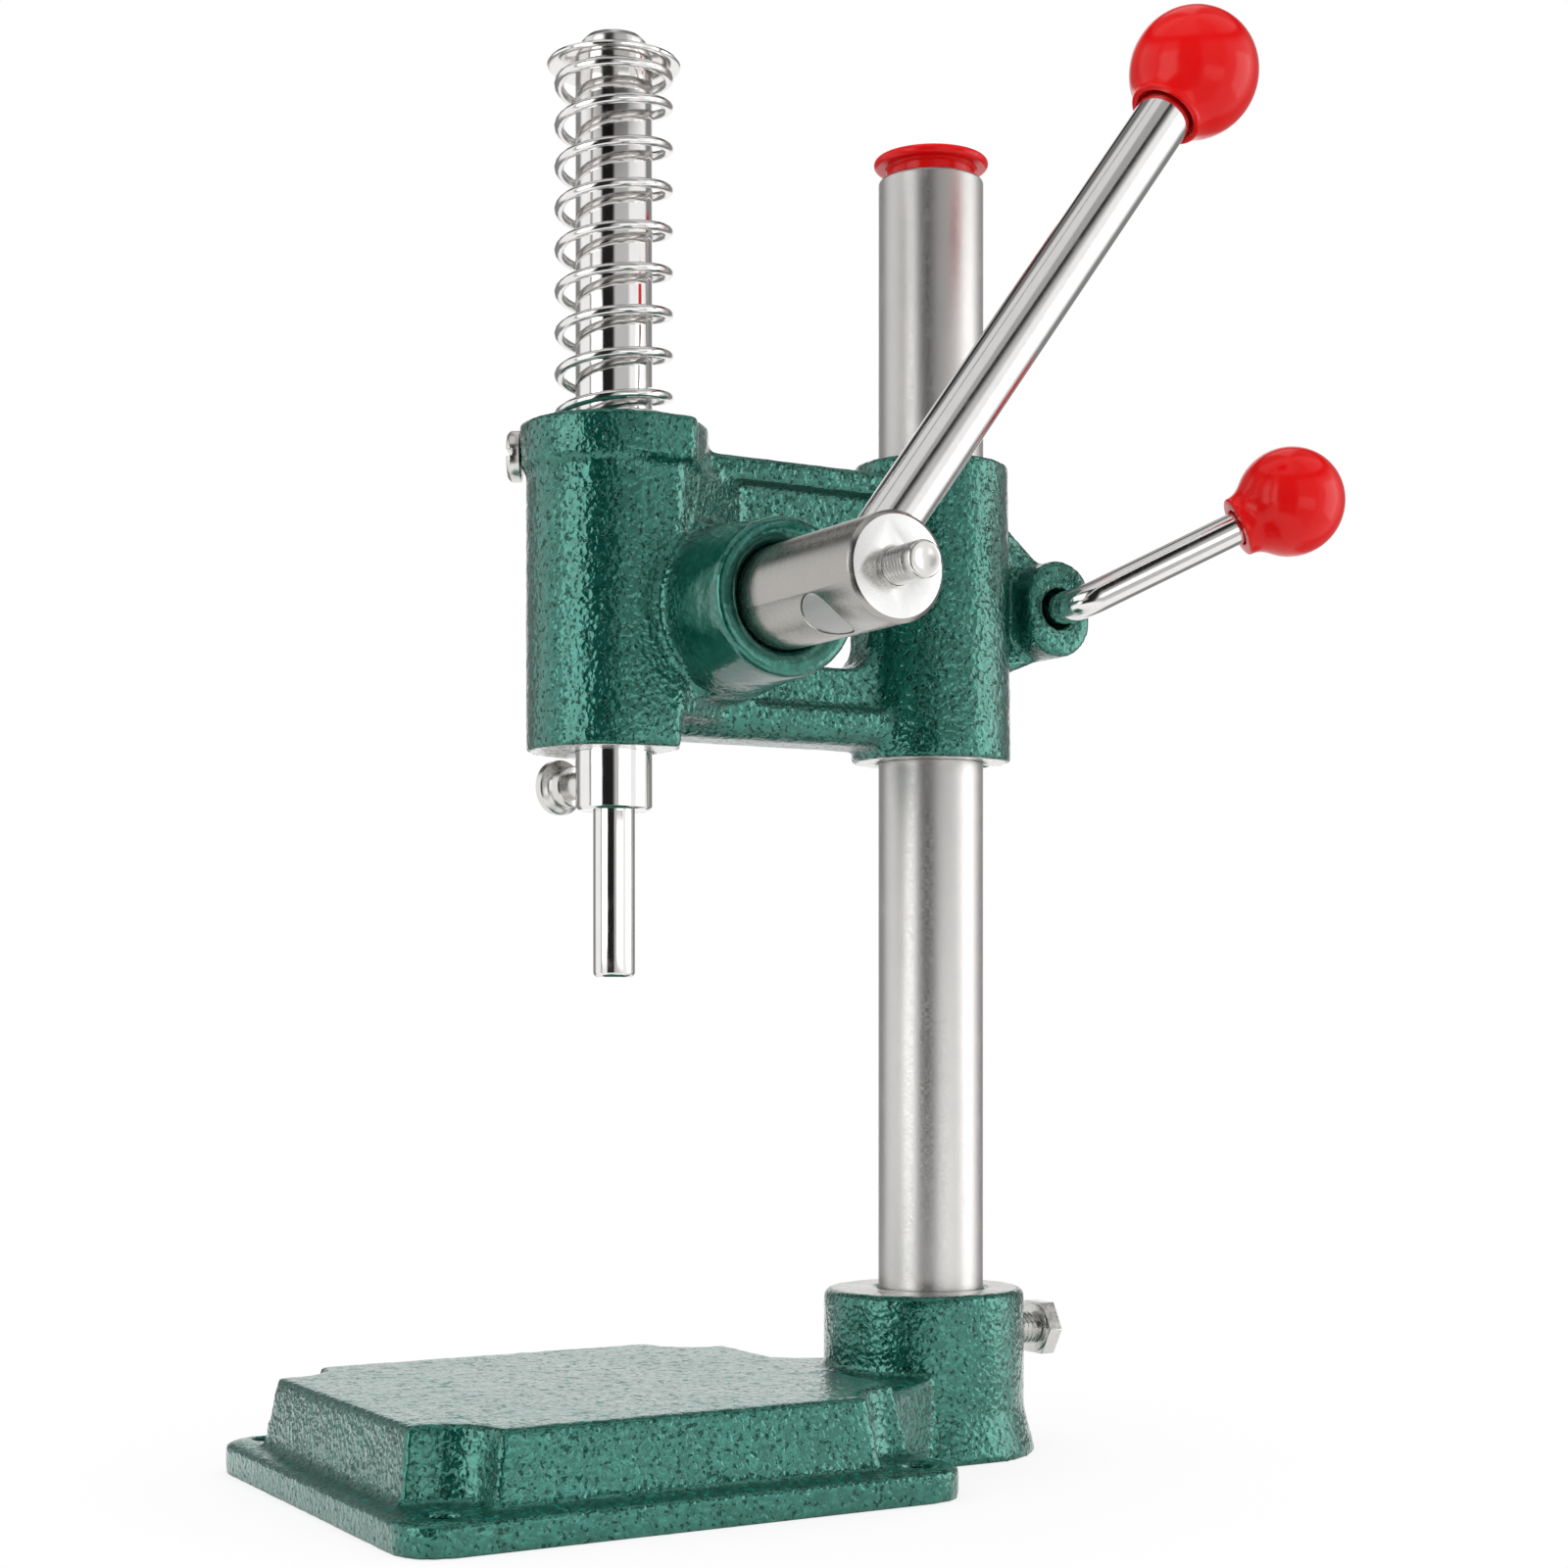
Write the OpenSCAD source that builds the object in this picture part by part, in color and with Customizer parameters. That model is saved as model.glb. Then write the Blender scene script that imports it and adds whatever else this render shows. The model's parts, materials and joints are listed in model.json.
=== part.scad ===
// Hand lever press for setting buttons and snap fasteners.
// Millimetres, +Z up. The origin is the centre of the bench bolts on the bench,
// +Y runs back to the column and +X is the operator's right, where the lever is.

/* [Base] */
// Width of the flange on the bench
flange_w = 152; // [144:1:170]
// Depth of the flange, front to back
flange_l = 166; // [158:1:184]
// Height of the flange at its outer edge
flange_edge_h = 8.5; // [6:0.5:9]
// Height of the flange where the table rises from it
flange_top_h = 9.5; // [9.5:0.5:12]
// Corner radius of the flange
flange_r = 12; // [8:1:16]
// Ledge of flange at each side of the table top
table_in_x = 9.5; // [7:0.5:13]
// Ledge of flange at the front and back of the table top
table_in_y = 10; // [8:0.5:14]
// Height of the table top over the bench
table_h = 29.2; // [26:0.2:34]
// How far each table wall spreads on its way down
table_draft = 3; // [1:0.5:4]
// Thickness of the table top
table_top_t = 10; // [8:0.5:12]
// Thickness of the walls round the underside pocket
base_wall = 10; // [8:0.5:14]
// Distance of each bench bolt from the flange's side
bolt_in_x = 10; // [9:0.5:13]
// Distance of each bench bolt from the flange's front or back edge
bolt_in_y = 13; // [11:0.5:16]
// Diameter of the bench bolt holes
bench_hole_d = 9; // [7:0.5:10.5]
// Radius of the round corner notch over each bolt, at the table top
notch_r = 16; // [13:0.5:18]

/* [Column] */
// Distance from the bench bolts' centre to the column axis
column_y = 118; // [114:1:124]
// Outer diameter of the column
column_d = 32; // [28:0.5:34]
// Wall of the column tube
column_wall = 2.5; // [2:0.5:5]
// Height of the column's top end
column_top_z = 388; // [380:1:410]
// Outer radius of the base socket
socket_r = 28.5; // [27:0.5:34]
// Height of the base socket
socket_h = 50; // [44:1:60]
// Floor of metal under the column
socket_floor_t = 6; // [4:0.5:10]
// Distance of the clamp bolt below the socket's rim
socket_bolt_drop = 15; // [12:0.5:18]

/* [Head] */
// Distance from the bench bolts' centre to the ram axis
ram_y = 10; // [6:0.5:14]
// Height of the underside of the head
head_z = 208; // [200:1:216]
// Height of the head
head_h = 92.5; // [90:0.5:96]
// Half width of the front boss, and the radius of its front
boss_r = 25; // [24:0.5:27]
// How far the front boss's flat sides run back past the ram axis
boss_back = 8.5; // [6:0.5:12]
// Height of the collar round the top of the front boss
collar_h = 12.5; // [10:0.5:16]
// How far the collar stands out from the boss
collar_step = 2; // [1:0.5:3]
// Outer radius of the rear boss round the column, at its top
clamp_r = 23.5; // [22:0.5:27]
// Thickness of the web between the bosses
web_t = 14; // [10:0.5:18]
// Width of the rails along the web
rail_w = 25; // [18:0.5:30]
// Width of the slit that lets the rear boss close on the column
slit_w = 3; // [2:0.5:4]

/* [Gear] */
// Module of the rack and pinion teeth
gear_module = 2; // [1.9:0.1:2.1]
// Number of pinion teeth
pinion_teeth = 18; // [17:1:19]
// Width of the pinion teeth
pinion_face_w = 20; // [16:1:22]
// Height of the pinion axis over the underside of the head
pinion_lift = 39.5; // [36:0.5:43]
// Diameter of the pinion shaft and its hub
hub_d = 29; // [26:0.5:30]
// Length of hub past the lever's axis
hub_end = 22; // [18:0.5:28]
// How far the pinion boss reaches from the centre plane
boss_reach = 54; // [46:1:58]

/* [Lever] */
// Distance of the lever rod from the centre plane
lever_x = 87; // [82:1:92]
// Diameter of the lever rod
lever_d = 16; // [12:0.5:17]
// Distance from the pinion axis to the centre of the lever ball
lever_len = 190; // [160:1:230]
// Angle of the lever over the horizontal at rest
lever_rest_deg = 53.4; // [45:0.1:60]
// Diameter of the lever ball
lever_ball_d = 36.5; // [32:0.5:42]

/* [Ram] */
// Diameter of the ram
ram_d = 22; // [20:0.5:24]
// How far the ram stands out under the head at rest
ram_out = 16.5; // [16:0.5:22]
// Length of ram over the head at rest
ram_over = 102.5; // [96:0.5:120]
// Diameter of the punch rod
punch_d = 12; // [8:0.5:13]
// Length of punch rod under the ram
punch_out = 47.5; // [40:0.5:56]

/* [Spring] */
// Wire diameter of the return spring
wire_d = 2.8; // [2.2:0.1:3.2]
// Outer diameter of the return spring
spring_od = 34; // [31:0.5:36]
// Number of curls in the return spring
spring_curls = 9.5; // [8:0.5:12]
// Diameter of the dished washer over the spring
washer_d = 38; // [36:0.5:42]

/* [Clamp lever] */
// Distance from the column axis back to the clamp bolt
ear_back = 36; // [33:0.5:40]
// Height of the clamp bolt over the underside of the head
ear_lift = 50; // [46:0.5:54]
// Diameter of the bent clamp lever
lock_d = 10; // [9:0.5:11]
// Bend of the clamp lever away from its thread
lock_bend_deg = 63; // [50:1:75]
// Rise of the clamp lever over the horizontal when tight
lock_rise_deg = 29.5; // [20:0.5:40]
// Length from the bend to the centre of the clamp ball
lock_len = 64.5; // [55:0.5:75]
// Diameter of the clamp ball
lock_ball_d = 33; // [30:0.5:36]

/* [Hidden] */

round_fn = 64;
hull_fn = 32;
// One overrun for every cut, and the clearances between pieces
cut = 1;
sliding_gap = 0.05;
loose_gap = 0.1;
touch_gap = 0.3;

// Colours as the photograph shows them
green = [0.09, 0.42, 0.33];
bright_steel = [0.82, 0.83, 0.84];
satin_steel = [0.66, 0.66, 0.64];
red_plastic = [0.82, 0.06, 0.05];
brass = [0.78, 0.62, 0.3];

// Base
table_w = flange_w - 2 * table_in_x;
table_l = flange_l - 2 * table_in_y;
bolt_dx = flange_w - 2 * bolt_in_x;
bolt_dy = flange_l - 2 * bolt_in_y;
pocket_pad_share = 0.8;
flange_slope_w = 5;
table_corner_r = 5;
notch_draft = 3;
neck_drop = 3;
neck_root_in_x = 9.5;
neck_root_in_y = 16;
neck_root_half_w = table_w / 2 - neck_root_in_x;
neck_root_y = table_l / 2 - neck_root_in_y;
neck_tip_half_w = 26;
neck_tip_back = 16;
socket_fore = 5;
socket_flare = 3.5;
socket_flare_h = 14;
socket_edge = 1.5;
socket_bolt_z = socket_h - socket_bolt_drop;
socket_bolt_d = 10;
socket_bolt_gap = 10;
socket_bolt_af = 16;
socket_bolt_head_h = 6.5;

// Column cap
cap_lip = 1.5;
cap_flange_d = column_d + 2 * cap_lip;
cap_flange_t = 3;
cap_dome_h = 1.6;
cap_dome_share = 0.8;
cap_plug_l = 14;
cap_rise = 3.5;
cap_wall = 2.5;

// Head
head_top_z = head_z + head_h;
boss_rear_back = 14;
boss_rear_half_w = 14;
collar_back = 14.5;
collar_corner_r = 4;
rear_boss_lift = 2;
rear_boss_draft = 0.9;
web_wedge_l = 29;
rail_drop = 6;
rail_h = 7;
low_rail_lift = 5;
low_rail_h = 11;
low_rail_chamfer = 4;
window_front_gap = 4.5;
window_rear_gap = 2;
window_lift = 28.5;
window_drop = 32.5;
window_r = 8;
housing_half_w = 22;
housing_wall = 4;
boss_root_r = 24.3;
boss_end_r = 22;
boss_mouth_depth = 2.5;
boss_mouth_gap = 2;
ear_half_w = 8;
ear_r = 11.5;
ear_slot = 3.3;
ear_root_low = 19.5;
ear_root_high = 25;
ear_root_in = 12;
ear_face_x = 18;
ear_back_face_x = 14;
ear_hole_gap = 1.2;

// Gear train: the pinion rolls on a rack cut in the back of the ram
pressure_deg = 20;
tooth_gap = 0.12;
pitch_r = gear_module * pinion_teeth / 2;
tip_r = pitch_r + gear_module;
root_clear_share = 0.25;
root_r = pitch_r - gear_module * (1 + root_clear_share);
base_r = pitch_r * cos(pressure_deg);
flank_steps = 4;
tooth_pitch = PI * gear_module;
rack_tip_in = 0.5;
rack_pitch_y = ram_d / 2 - rack_tip_in - gear_module;
rack_side_deg = 180;
pinion_y = ram_y + rack_pitch_y + pitch_r;
pinion_z = head_z + pinion_lift;
hub_reach = lever_x + hub_end;
chamber_gap = 1;
chamber_r = tip_r + chamber_gap;
housing_r = chamber_r + housing_wall;
window_front_y = pinion_y + housing_r + window_front_gap;
window_rear_y = column_y - clamp_r - window_rear_gap;
window_low_z = head_z + window_lift;
window_high_z = head_top_z - window_drop;
window_round = min(window_r, (window_rear_y - window_front_y) / 3);
thrust_t = 0.9;
thrust_gap = 0.05;
chamber_half_w = pinion_face_w / 2 + thrust_t + 2 * thrust_gap;
lever_turn_deg = 150;
ram_travel = pitch_r * lever_turn_deg * PI / 180;

// Pinion cover on the left of the head
pad_rim = 10;
pad_r = chamber_r + pad_rim;
cover_seat_x = 26;
pad_depth = 14;
cover_t = 6;
cover_screw_rim = 5.7;
cover_screw_r = chamber_r + cover_screw_rim;
cover_screw_d = 5;
cover_screw_socket_share = 0.9;
cover_screw_l = 13;
cover_screw_head_d = 8.5;
cover_screw_head_h = 5;
cover_screw_count = 4;
cover_end_t = 2;
journal_r = 8;
journal_end_gap = 1;
hub_chamfer = 1.2;

// Lever
set_screw_d = 10;
set_screw_out = 13;
set_screw_chamfer = 0.9;
// The knobs' necks: where each ends under the round of its ball, its wall over the rod, and its waist
lever_neck_in = 0.9;
lever_neck_wall = 2.6;
lever_neck_back = lever_ball_d / 2 - lever_neck_in;
lever_neck_r = lever_d / 2 + lever_neck_wall;
neck_waist_share = 0.86;
lever_thread_d = 10;
lever_socket_depth = 2.6;
insert_wall = 2.2;
insert_l = 15;
insert_groove = 0.6;
insert_groove_w = 3;

// Ram, its screws and the punch
ram_chamfer = 0.8;
ram_low_z = head_z - ram_out;
ram_top_z = head_top_z + ram_over;
rack_margin = 15;
punch_low_z = ram_low_z - punch_out;
punch_shoulder = 1;
punch_shank_d = punch_d - 2 * punch_shoulder;
punch_bore_l = 34;
punch_screw_turn_deg = 75;
punch_screw_d = 8;
punch_screw_out = 6.5;
punch_screw_neck_d = 12;
punch_screw_neck_l = 4.8;
punch_screw_head_d = 16;
punch_screw_head_t = 4;
punch_screw_chamfer = 0.8;
punch_screw_drop = 0.5;
punch_screw_z = head_z - punch_screw_drop - punch_screw_head_d / 2;
top_screw_d = 8;
top_screw_l = 22;
top_screw_head_r = 9.3;
top_screw_head_h = 4.4;
top_screw_dome_shares = [[1, 0], [1, 0.45], [0.86, 0.78], [0.5, 0.95], [0, 1]];
top_screw_slot_share = 1.1;
top_screw_slot_l = top_screw_head_r * top_screw_slot_share;
top_screw_slot_w = 2.2;
top_screw_slot_depth = 2;
washer_rim_t = 1.4;
washer_crown_h = 3.6;
washer_crown_r = 12;
washer_crown_share = 0.75;
drag_screw_turn_deg = 30;
drag_screw_drop = 8;
drag_screw_z = head_top_z - drag_screw_drop;
drag_screw_d = 10;
drag_screw_head_d = 14.5;
drag_screw_head_h = 3.8;
drag_screw_dome_h = 1;
drag_spot_d = 17;
drag_spot_depth = 0.6;
drag_slot_w = 2;
drag_slot_depth = 1.6;
drag_pad_t = 3;
drag_seat_y = drag_spot_depth - boss_r - collar_step;

// Clamp lever in the head's ears
lock_bend_r = 10;
lock_bend_x = 22;
bend_overlap = 0.4;
bend_swell = 0.03;
lock_neck_out = 1.3;
lock_neck_wall = 4.2;
lock_neck_back = lock_ball_d / 2 + lock_neck_out;
lock_neck_r = lock_d / 2 + lock_neck_wall;
lock_thread_d = 8;
lock_socket_depth = 2;
lock_insert_l = 13;
lock_nut_af = 16;
lock_nut_t = 8;
lock_nut_pocket = 3;
lock_thread_past = 2;
ear_y = column_y + ear_back;
ear_z = head_z + ear_lift;

// Return spring: closed at both ends, right-handed
coil_r = (spring_od - wire_d) / 2;
spring_low_z = head_top_z + sliding_gap;
spring_high_z = ram_top_z - sliding_gap;
curl_rings = 8;
wire_sides = 6;
closed_curls = 0.75;
closed_gap = 0.6;
closed_pitch = wire_d + closed_gap;
spring_rise = spring_high_z - spring_low_z - wire_d;
open_pitch = (spring_rise - 2 * closed_curls * closed_pitch) / (spring_curls - 2 * closed_curls);

// Shapes used by several pieces

// Rod along X from x0 to x1
module rod_x(x0, x1, r) {
    translate([x0, 0, 0]) rotate([0, 90, 0]) cylinder(h = x1 - x0, r = r, $fn = round_fn);
}

// Rod along -Y from y0 forward to y1
module rod_front(y0, y1, r) {
    translate([0, y0, 0]) rotate([90, 0, 0]) cylinder(h = y0 - y1, r = r, $fn = round_fn);
}

// Flat outline with round corners
module round_rect(w, l, r) {
    square([w - 2 * r, l], center = true);
    square([w, l - 2 * r], center = true);
    for (x = [-1, 1], y = [-1, 1])
        translate([x * (w / 2 - r), y * (l / 2 - r)]) circle(r = r, $fn = hull_fn);
}

// Rounded block whose walls spread by draft on their way down
module drafted_block(w, l, r, z0, z1, draft) {
    hull() for (x = [-1, 1], y = [-1, 1]) translate([x * (w / 2 - r), y * (l / 2 - r), z0])
        cylinder(h = z1 - z0, r1 = r + draft, r2 = r, $fn = hull_fn);
}

module at_bench_bolts() {
    for (x = [-1, 1], y = [-1, 1]) translate([x * bolt_dx / 2, y * bolt_dy / 2, 0]) children();
}

// Places children on the pinion axis, at the centre plane
module at_pinion() {
    translate([0, pinion_y, pinion_z]) children();
}

// Places children with +Z along the lever
module along_lever() {
    translate([lever_x, pinion_y, pinion_z]) rotate([lever_rest_deg - 90, 0, 0]) children();
}

// Places children on the ram axis at height z, their front turned to the left
module at_ram_side(z, turn_deg) {
    translate([0, ram_y, z]) rotate([0, 0, -turn_deg]) children();
}

module at_drag_screw() {
    at_ram_side(drag_screw_z, drag_screw_turn_deg) children();
}

// Places children on the clamp bolt axis, at the centre plane
module at_ear() {
    translate([0, ear_y, ear_z]) children();
}

// Places children with +Z along the bent arm of the clamp lever, from the end of the bend
module along_lock_arm() {
    at_ear() rotate([lock_rise_deg, 0, 0])
        translate([lock_bend_x + lock_bend_r * sin(lock_bend_deg), lock_bend_r * (1 - cos(lock_bend_deg)), 0])
            rotate([0, 0, lock_bend_deg]) rotate([0, 90, 0]) children();
}

// Ball knob with a short flared neck, centred at z, its neck towards zero
module knob(z, ball_d, neck_back, neck_r, rod_d, socket_depth, bore_d, bore_l) {
    waist_r = neck_r * neck_waist_share;
    neck_in = neck_back - sqrt(pow(ball_d / 2, 2) - pow(waist_r, 2));
    difference() {
        union() {
            translate([0, 0, z]) sphere(d = ball_d, $fn = round_fn);
            translate([0, 0, z - neck_back])
                cylinder(h = neck_in + neck_r / 4, r1 = neck_r, r2 = waist_r, $fn = round_fn);
        }
        translate([0, 0, z - neck_back - cut])
            cylinder(h = socket_depth + cut, d = rod_d + 2 * touch_gap, $fn = round_fn);
        translate([0, 0, z - neck_back])
            cylinder(h = socket_depth + bore_l, d = bore_d, $fn = round_fn);
    }
}

// Threaded insert moulded into a knob, with two grooves that hold it
module knob_insert(z, thread_d, len) {
    outer_r = thread_d / 2 + insert_wall;
    translate([0, 0, z]) difference() {
        cylinder(h = len, r = outer_r, $fn = round_fn);
        translate([0, 0, -cut]) cylinder(h = len + 2 * cut, d = thread_d + 2 * sliding_gap, $fn = round_fn);
        for (k = [1, 3]) translate([0, 0, k * len / 4 - insert_groove_w / 2]) difference() {
            cylinder(h = insert_groove_w, r = outer_r + cut, $fn = round_fn);
            translate([0, 0, -cut])
                cylinder(h = insert_groove_w + 2 * cut, r = outer_r - insert_groove, $fn = round_fn);
        }
    }
}

// Base

module pocket_outline() {
    difference() {
        square([table_w - 2 * base_wall, table_l - 2 * base_wall], center = true);
        for (x = [-1, 1], y = [-1, 1]) translate([x * bolt_dx / 2, y * bolt_dy / 2])
            circle(r = notch_r + base_wall * pocket_pad_share, $fn = round_fn);
    }
}

socket_half = [[0, 0], [socket_r + socket_flare, 0], [socket_r, socket_flare_h],
               [socket_r, socket_h - socket_edge], [socket_r - socket_edge, socket_h], [0, socket_h]];

// Round socket, drawn out a little towards the table
module socket_solid() {
    for (y = [column_y - socket_fore, column_y])
        translate([0, y, 0]) rotate_extrude($fn = round_fn) polygon(socket_half);
    for (side = [0, 1]) mirror([side, 0, 0])
        translate([0, column_y, 0]) rotate([90, 0, 0]) linear_extrude(socket_fore) polygon(socket_half);
}

module base_casting() color(green) difference() {
    union() {
        hull() for (x = [-1, 1], y = [-1, 1])
            translate([x * (flange_w / 2 - flange_r), y * (flange_l / 2 - flange_r), 0]) {
                cylinder(h = flange_edge_h, r = flange_r, $fn = hull_fn);
                cylinder(h = flange_top_h, r = flange_r - flange_slope_w, $fn = hull_fn);
            }
        difference() {
            union() {
                drafted_block(table_w, table_l, table_corner_r, flange_edge_h, table_h, table_draft);
                linear_extrude(table_h - neck_drop)
                    polygon([[-neck_root_half_w, neck_root_y - neck_tip_back],
                             [-neck_root_half_w, neck_root_y],
                             [-neck_tip_half_w, column_y - neck_tip_back], [-neck_tip_half_w, column_y],
                             [neck_tip_half_w, column_y], [neck_tip_half_w, column_y - neck_tip_back],
                             [neck_root_half_w, neck_root_y], [neck_root_half_w, neck_root_y - neck_tip_back]]);
            }
            at_bench_bolts() translate([0, 0, flange_top_h])
                cylinder(h = table_h - flange_top_h + cut, r1 = notch_r - notch_draft, r2 = notch_r,
                         $fn = round_fn);
        }
        socket_solid();
    }
    translate([0, 0, -cut]) linear_extrude(table_h - table_top_t + cut) pocket_outline();
    at_bench_bolts() translate([0, 0, -cut])
        cylinder(h = flange_top_h + 2 * cut, d = bench_hole_d, $fn = round_fn);
    translate([0, column_y, socket_floor_t])
        cylinder(h = socket_h, r = column_d / 2 + sliding_gap, $fn = round_fn);
    translate([0, column_y + socket_r + cut, socket_bolt_z])
        rotate([90, 0, 0]) cylinder(h = socket_r + cut, d = socket_bolt_d, $fn = round_fn);
}

module socket_bolt() color(bright_steel) translate([0, column_y, socket_bolt_z]) {
    head_y = socket_r + socket_bolt_gap;
    rod_front(head_y + cut, column_d / 2 + sliding_gap, socket_bolt_d / 2 - sliding_gap);
    translate([0, head_y + socket_bolt_head_h, 0]) rotate([90, 0, 0])
        cylinder(h = socket_bolt_head_h, d = socket_bolt_af / cos(30), $fn = 6);
}

// Column

module column_tube() color(satin_steel) translate([0, column_y, socket_floor_t]) difference() {
    cylinder(h = column_top_z - socket_floor_t, d = column_d, $fn = round_fn);
    translate([0, 0, -cut])
        cylinder(h = column_top_z - socket_floor_t + 2 * cut, d = column_d - 2 * column_wall, $fn = round_fn);
}

// Plug whose flange stands a little over the tube's end
module column_cap() color(red_plastic) translate([0, column_y, column_top_z + cap_rise]) {
    plug_r = column_d / 2 - column_wall - sliding_gap;
    rotate_extrude($fn = round_fn)
        polygon([[0, cap_flange_t + cap_dome_h], [0, cap_flange_t - cap_wall / 2],
                 [plug_r - cap_wall, cap_flange_t - cap_wall], [plug_r - cap_wall, -cap_plug_l - cap_rise],
                 [plug_r, -cap_plug_l - cap_rise], [plug_r, 0], [cap_flange_d / 2 - cap_flange_t / 4, 0],
                 [cap_flange_d / 2, cap_flange_t / 3], [cap_flange_d / 2, cap_flange_t * 2 / 3],
                 [cap_flange_d / 2 - cap_flange_t / 2, cap_flange_t],
                 [cap_flange_d / 4, cap_flange_t + cap_dome_h * cap_dome_share]]);
}

// Head

module front_boss() {
    // Round front and flat sides, drawn in behind the ram
    translate([0, ram_y, head_z]) linear_extrude(head_h) {
        intersection() {
            circle(r = boss_r, $fn = round_fn);
            translate([-boss_r, -boss_r - cut]) square([2 * boss_r, boss_r + cut]);
        }
        polygon([[-boss_r, 0], [boss_r, 0], [boss_r, boss_back], [boss_rear_half_w, boss_rear_back],
                 [-boss_rear_half_w, boss_rear_back], [-boss_r, boss_back]]);
    }
    // Collar round the top, rounded at its two rear corners
    collar_r = boss_r + collar_step;
    translate([0, ram_y, head_top_z - collar_h]) {
        cylinder(h = collar_h, r = collar_r, $fn = round_fn);
        translate([-collar_r, 0, 0]) cube([2 * collar_r, collar_back - collar_corner_r, collar_h]);
        translate([collar_corner_r - collar_r, 0, 0])
            cube([2 * (collar_r - collar_corner_r), collar_back, collar_h]);
        for (x = [-1, 1]) translate([x * (collar_r - collar_corner_r), collar_back - collar_corner_r, 0])
            cylinder(h = collar_h, r = collar_corner_r, $fn = hull_fn);
    }
}

module web() {
    difference() {
        translate([-web_t / 2, ram_y, head_z + low_rail_lift])
            cube([web_t, column_y - ram_y, head_h - low_rail_lift - rail_drop]);
        translate([0, (window_front_y + window_rear_y) / 2, (window_low_z + window_high_z) / 2])
            rotate([0, -90, 0]) translate([0, 0, -web_t / 2 - cut]) linear_extrude(web_t + 2 * cut)
                round_rect(window_high_z - window_low_z, window_rear_y - window_front_y, window_round);
    }
    // Sides of the front boss, drawn in to the web
    translate([0, ram_y + boss_back, head_z + low_rail_lift + low_rail_chamfer])
        linear_extrude(head_h - low_rail_lift - low_rail_chamfer - collar_h)
            polygon([[-boss_r, 0], [boss_r, 0], [web_t / 2, web_wedge_l], [-web_t / 2, web_wedge_l]]);
    // Top rail
    translate([-rail_w / 2, ram_y, head_top_z - rail_drop - rail_h]) cube([rail_w, column_y - ram_y, rail_h]);
    // Bottom rail, its lower edges chamfered
    translate([0, column_y, head_z + low_rail_lift]) rotate([90, 0, 0]) linear_extrude(column_y - ram_y)
        polygon([[-rail_w / 2, low_rail_h], [-rail_w / 2, low_rail_chamfer],
                 [low_rail_chamfer - rail_w / 2, 0], [rail_w / 2 - low_rail_chamfer, 0],
                 [rail_w / 2, low_rail_chamfer], [rail_w / 2, low_rail_h]]);
}

module gear_housing() {
    at_pinion() {
        rod_x(-housing_half_w, housing_half_w, housing_r);
        rod_x(-cover_seat_x, pad_depth - cover_seat_x, pad_r);
        translate([housing_half_w, 0, 0]) rotate([0, 90, 0])
            cylinder(h = boss_reach - housing_half_w, r1 = boss_root_r, r2 = boss_end_r, $fn = round_fn);
    }
    translate([-housing_half_w, ram_y, pinion_z - housing_r])
        cube([2 * housing_half_w, pinion_y - ram_y, 2 * housing_r]);
}

module ear_outline() {
    for (z = [-1, 1]) translate([0, z * ear_slot]) circle(r = ear_r, $fn = round_fn);
    square([2 * ear_r, 2 * ear_slot], center = true);
}

// The split lug behind the rear boss, and the bosses that its bolt passes through
module clamp_lug() {
    at_ear() rotate([90, 0, 90]) {
        translate([0, 0, -ear_half_w]) linear_extrude(2 * ear_half_w) {
            ear_outline();
            polygon([[-ear_root_in, ear_root_high], [-ear_root_in - ear_r, ear_root_high],
                     [-ear_root_in - ear_r, -ear_root_low], [-ear_root_in, -ear_root_low],
                     [0, -ear_slot - ear_r], [ear_r / 2, -ear_slot], [ear_r / 2, ear_slot],
                     [0, ear_slot + ear_r]]);
        }
        translate([0, 0, -ear_back_face_x]) linear_extrude(ear_back_face_x + ear_face_x) ear_outline();
    }
}

module head_casting() color(green) difference() {
    union() {
        front_boss();
        web();
        gear_housing();
        translate([0, column_y, head_z + rear_boss_lift])
            cylinder(h = head_h - rear_boss_lift, r1 = clamp_r + rear_boss_draft, r2 = clamp_r, $fn = round_fn);
        clamp_lug();
    }
    // Ram bore and column bore
    translate([0, ram_y, head_z - cut])
        cylinder(h = head_h + 2 * cut, r = ram_d / 2 + sliding_gap, $fn = round_fn);
    translate([0, column_y, head_z - cut])
        cylinder(h = head_h + 2 * cut, r = column_d / 2 + sliding_gap, $fn = round_fn);
    // Pinion chamber, open to the left, and the bearing for the hub
    at_pinion() {
        rod_x(-cover_seat_x - cut, chamber_half_w, chamber_r);
        rod_x(0, boss_reach + cut, hub_d / 2 + sliding_gap);
        rod_x(boss_reach - boss_mouth_depth, boss_reach + cut, hub_d / 2 + boss_mouth_gap);
        cover_screw_places() rod_x(-cover_seat_x - cut, cover_screw_l - cover_seat_x, cover_screw_d / 2);
    }
    // Drag screw, with a flat for its head
    at_drag_screw() {
        rod_front(0, -boss_r - collar_step - cut, drag_screw_d / 2);
        rod_front(drag_seat_y, -boss_r - collar_step - cut, drag_spot_d / 2);
    }
    // Slit, bolt hole and nut pocket of the clamp
    translate([-slit_w / 2, column_y, head_z - cut]) cube([slit_w, ear_back + 2 * ear_r, head_h + 2 * cut]);
    at_ear() {
        rod_x(0, ear_face_x + cut, lock_d / 2 + ear_hole_gap);
        rod_x(-ear_back_face_x - cut, 0, lock_d / 2 + loose_gap);
        translate([-ear_back_face_x - cut, 0, 0]) rotate([0, 90, 0])
            cylinder(h = lock_nut_pocket + cut, r = lock_nut_af / 2 / cos(30) + loose_gap, $fn = 6);
    }
}

// Gear train

// Angle that the involute has unrolled where it reaches radius r
function involute_deg(r) = let (a = acos(base_r / r)) tan(a) * 180 / PI - a;

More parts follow.
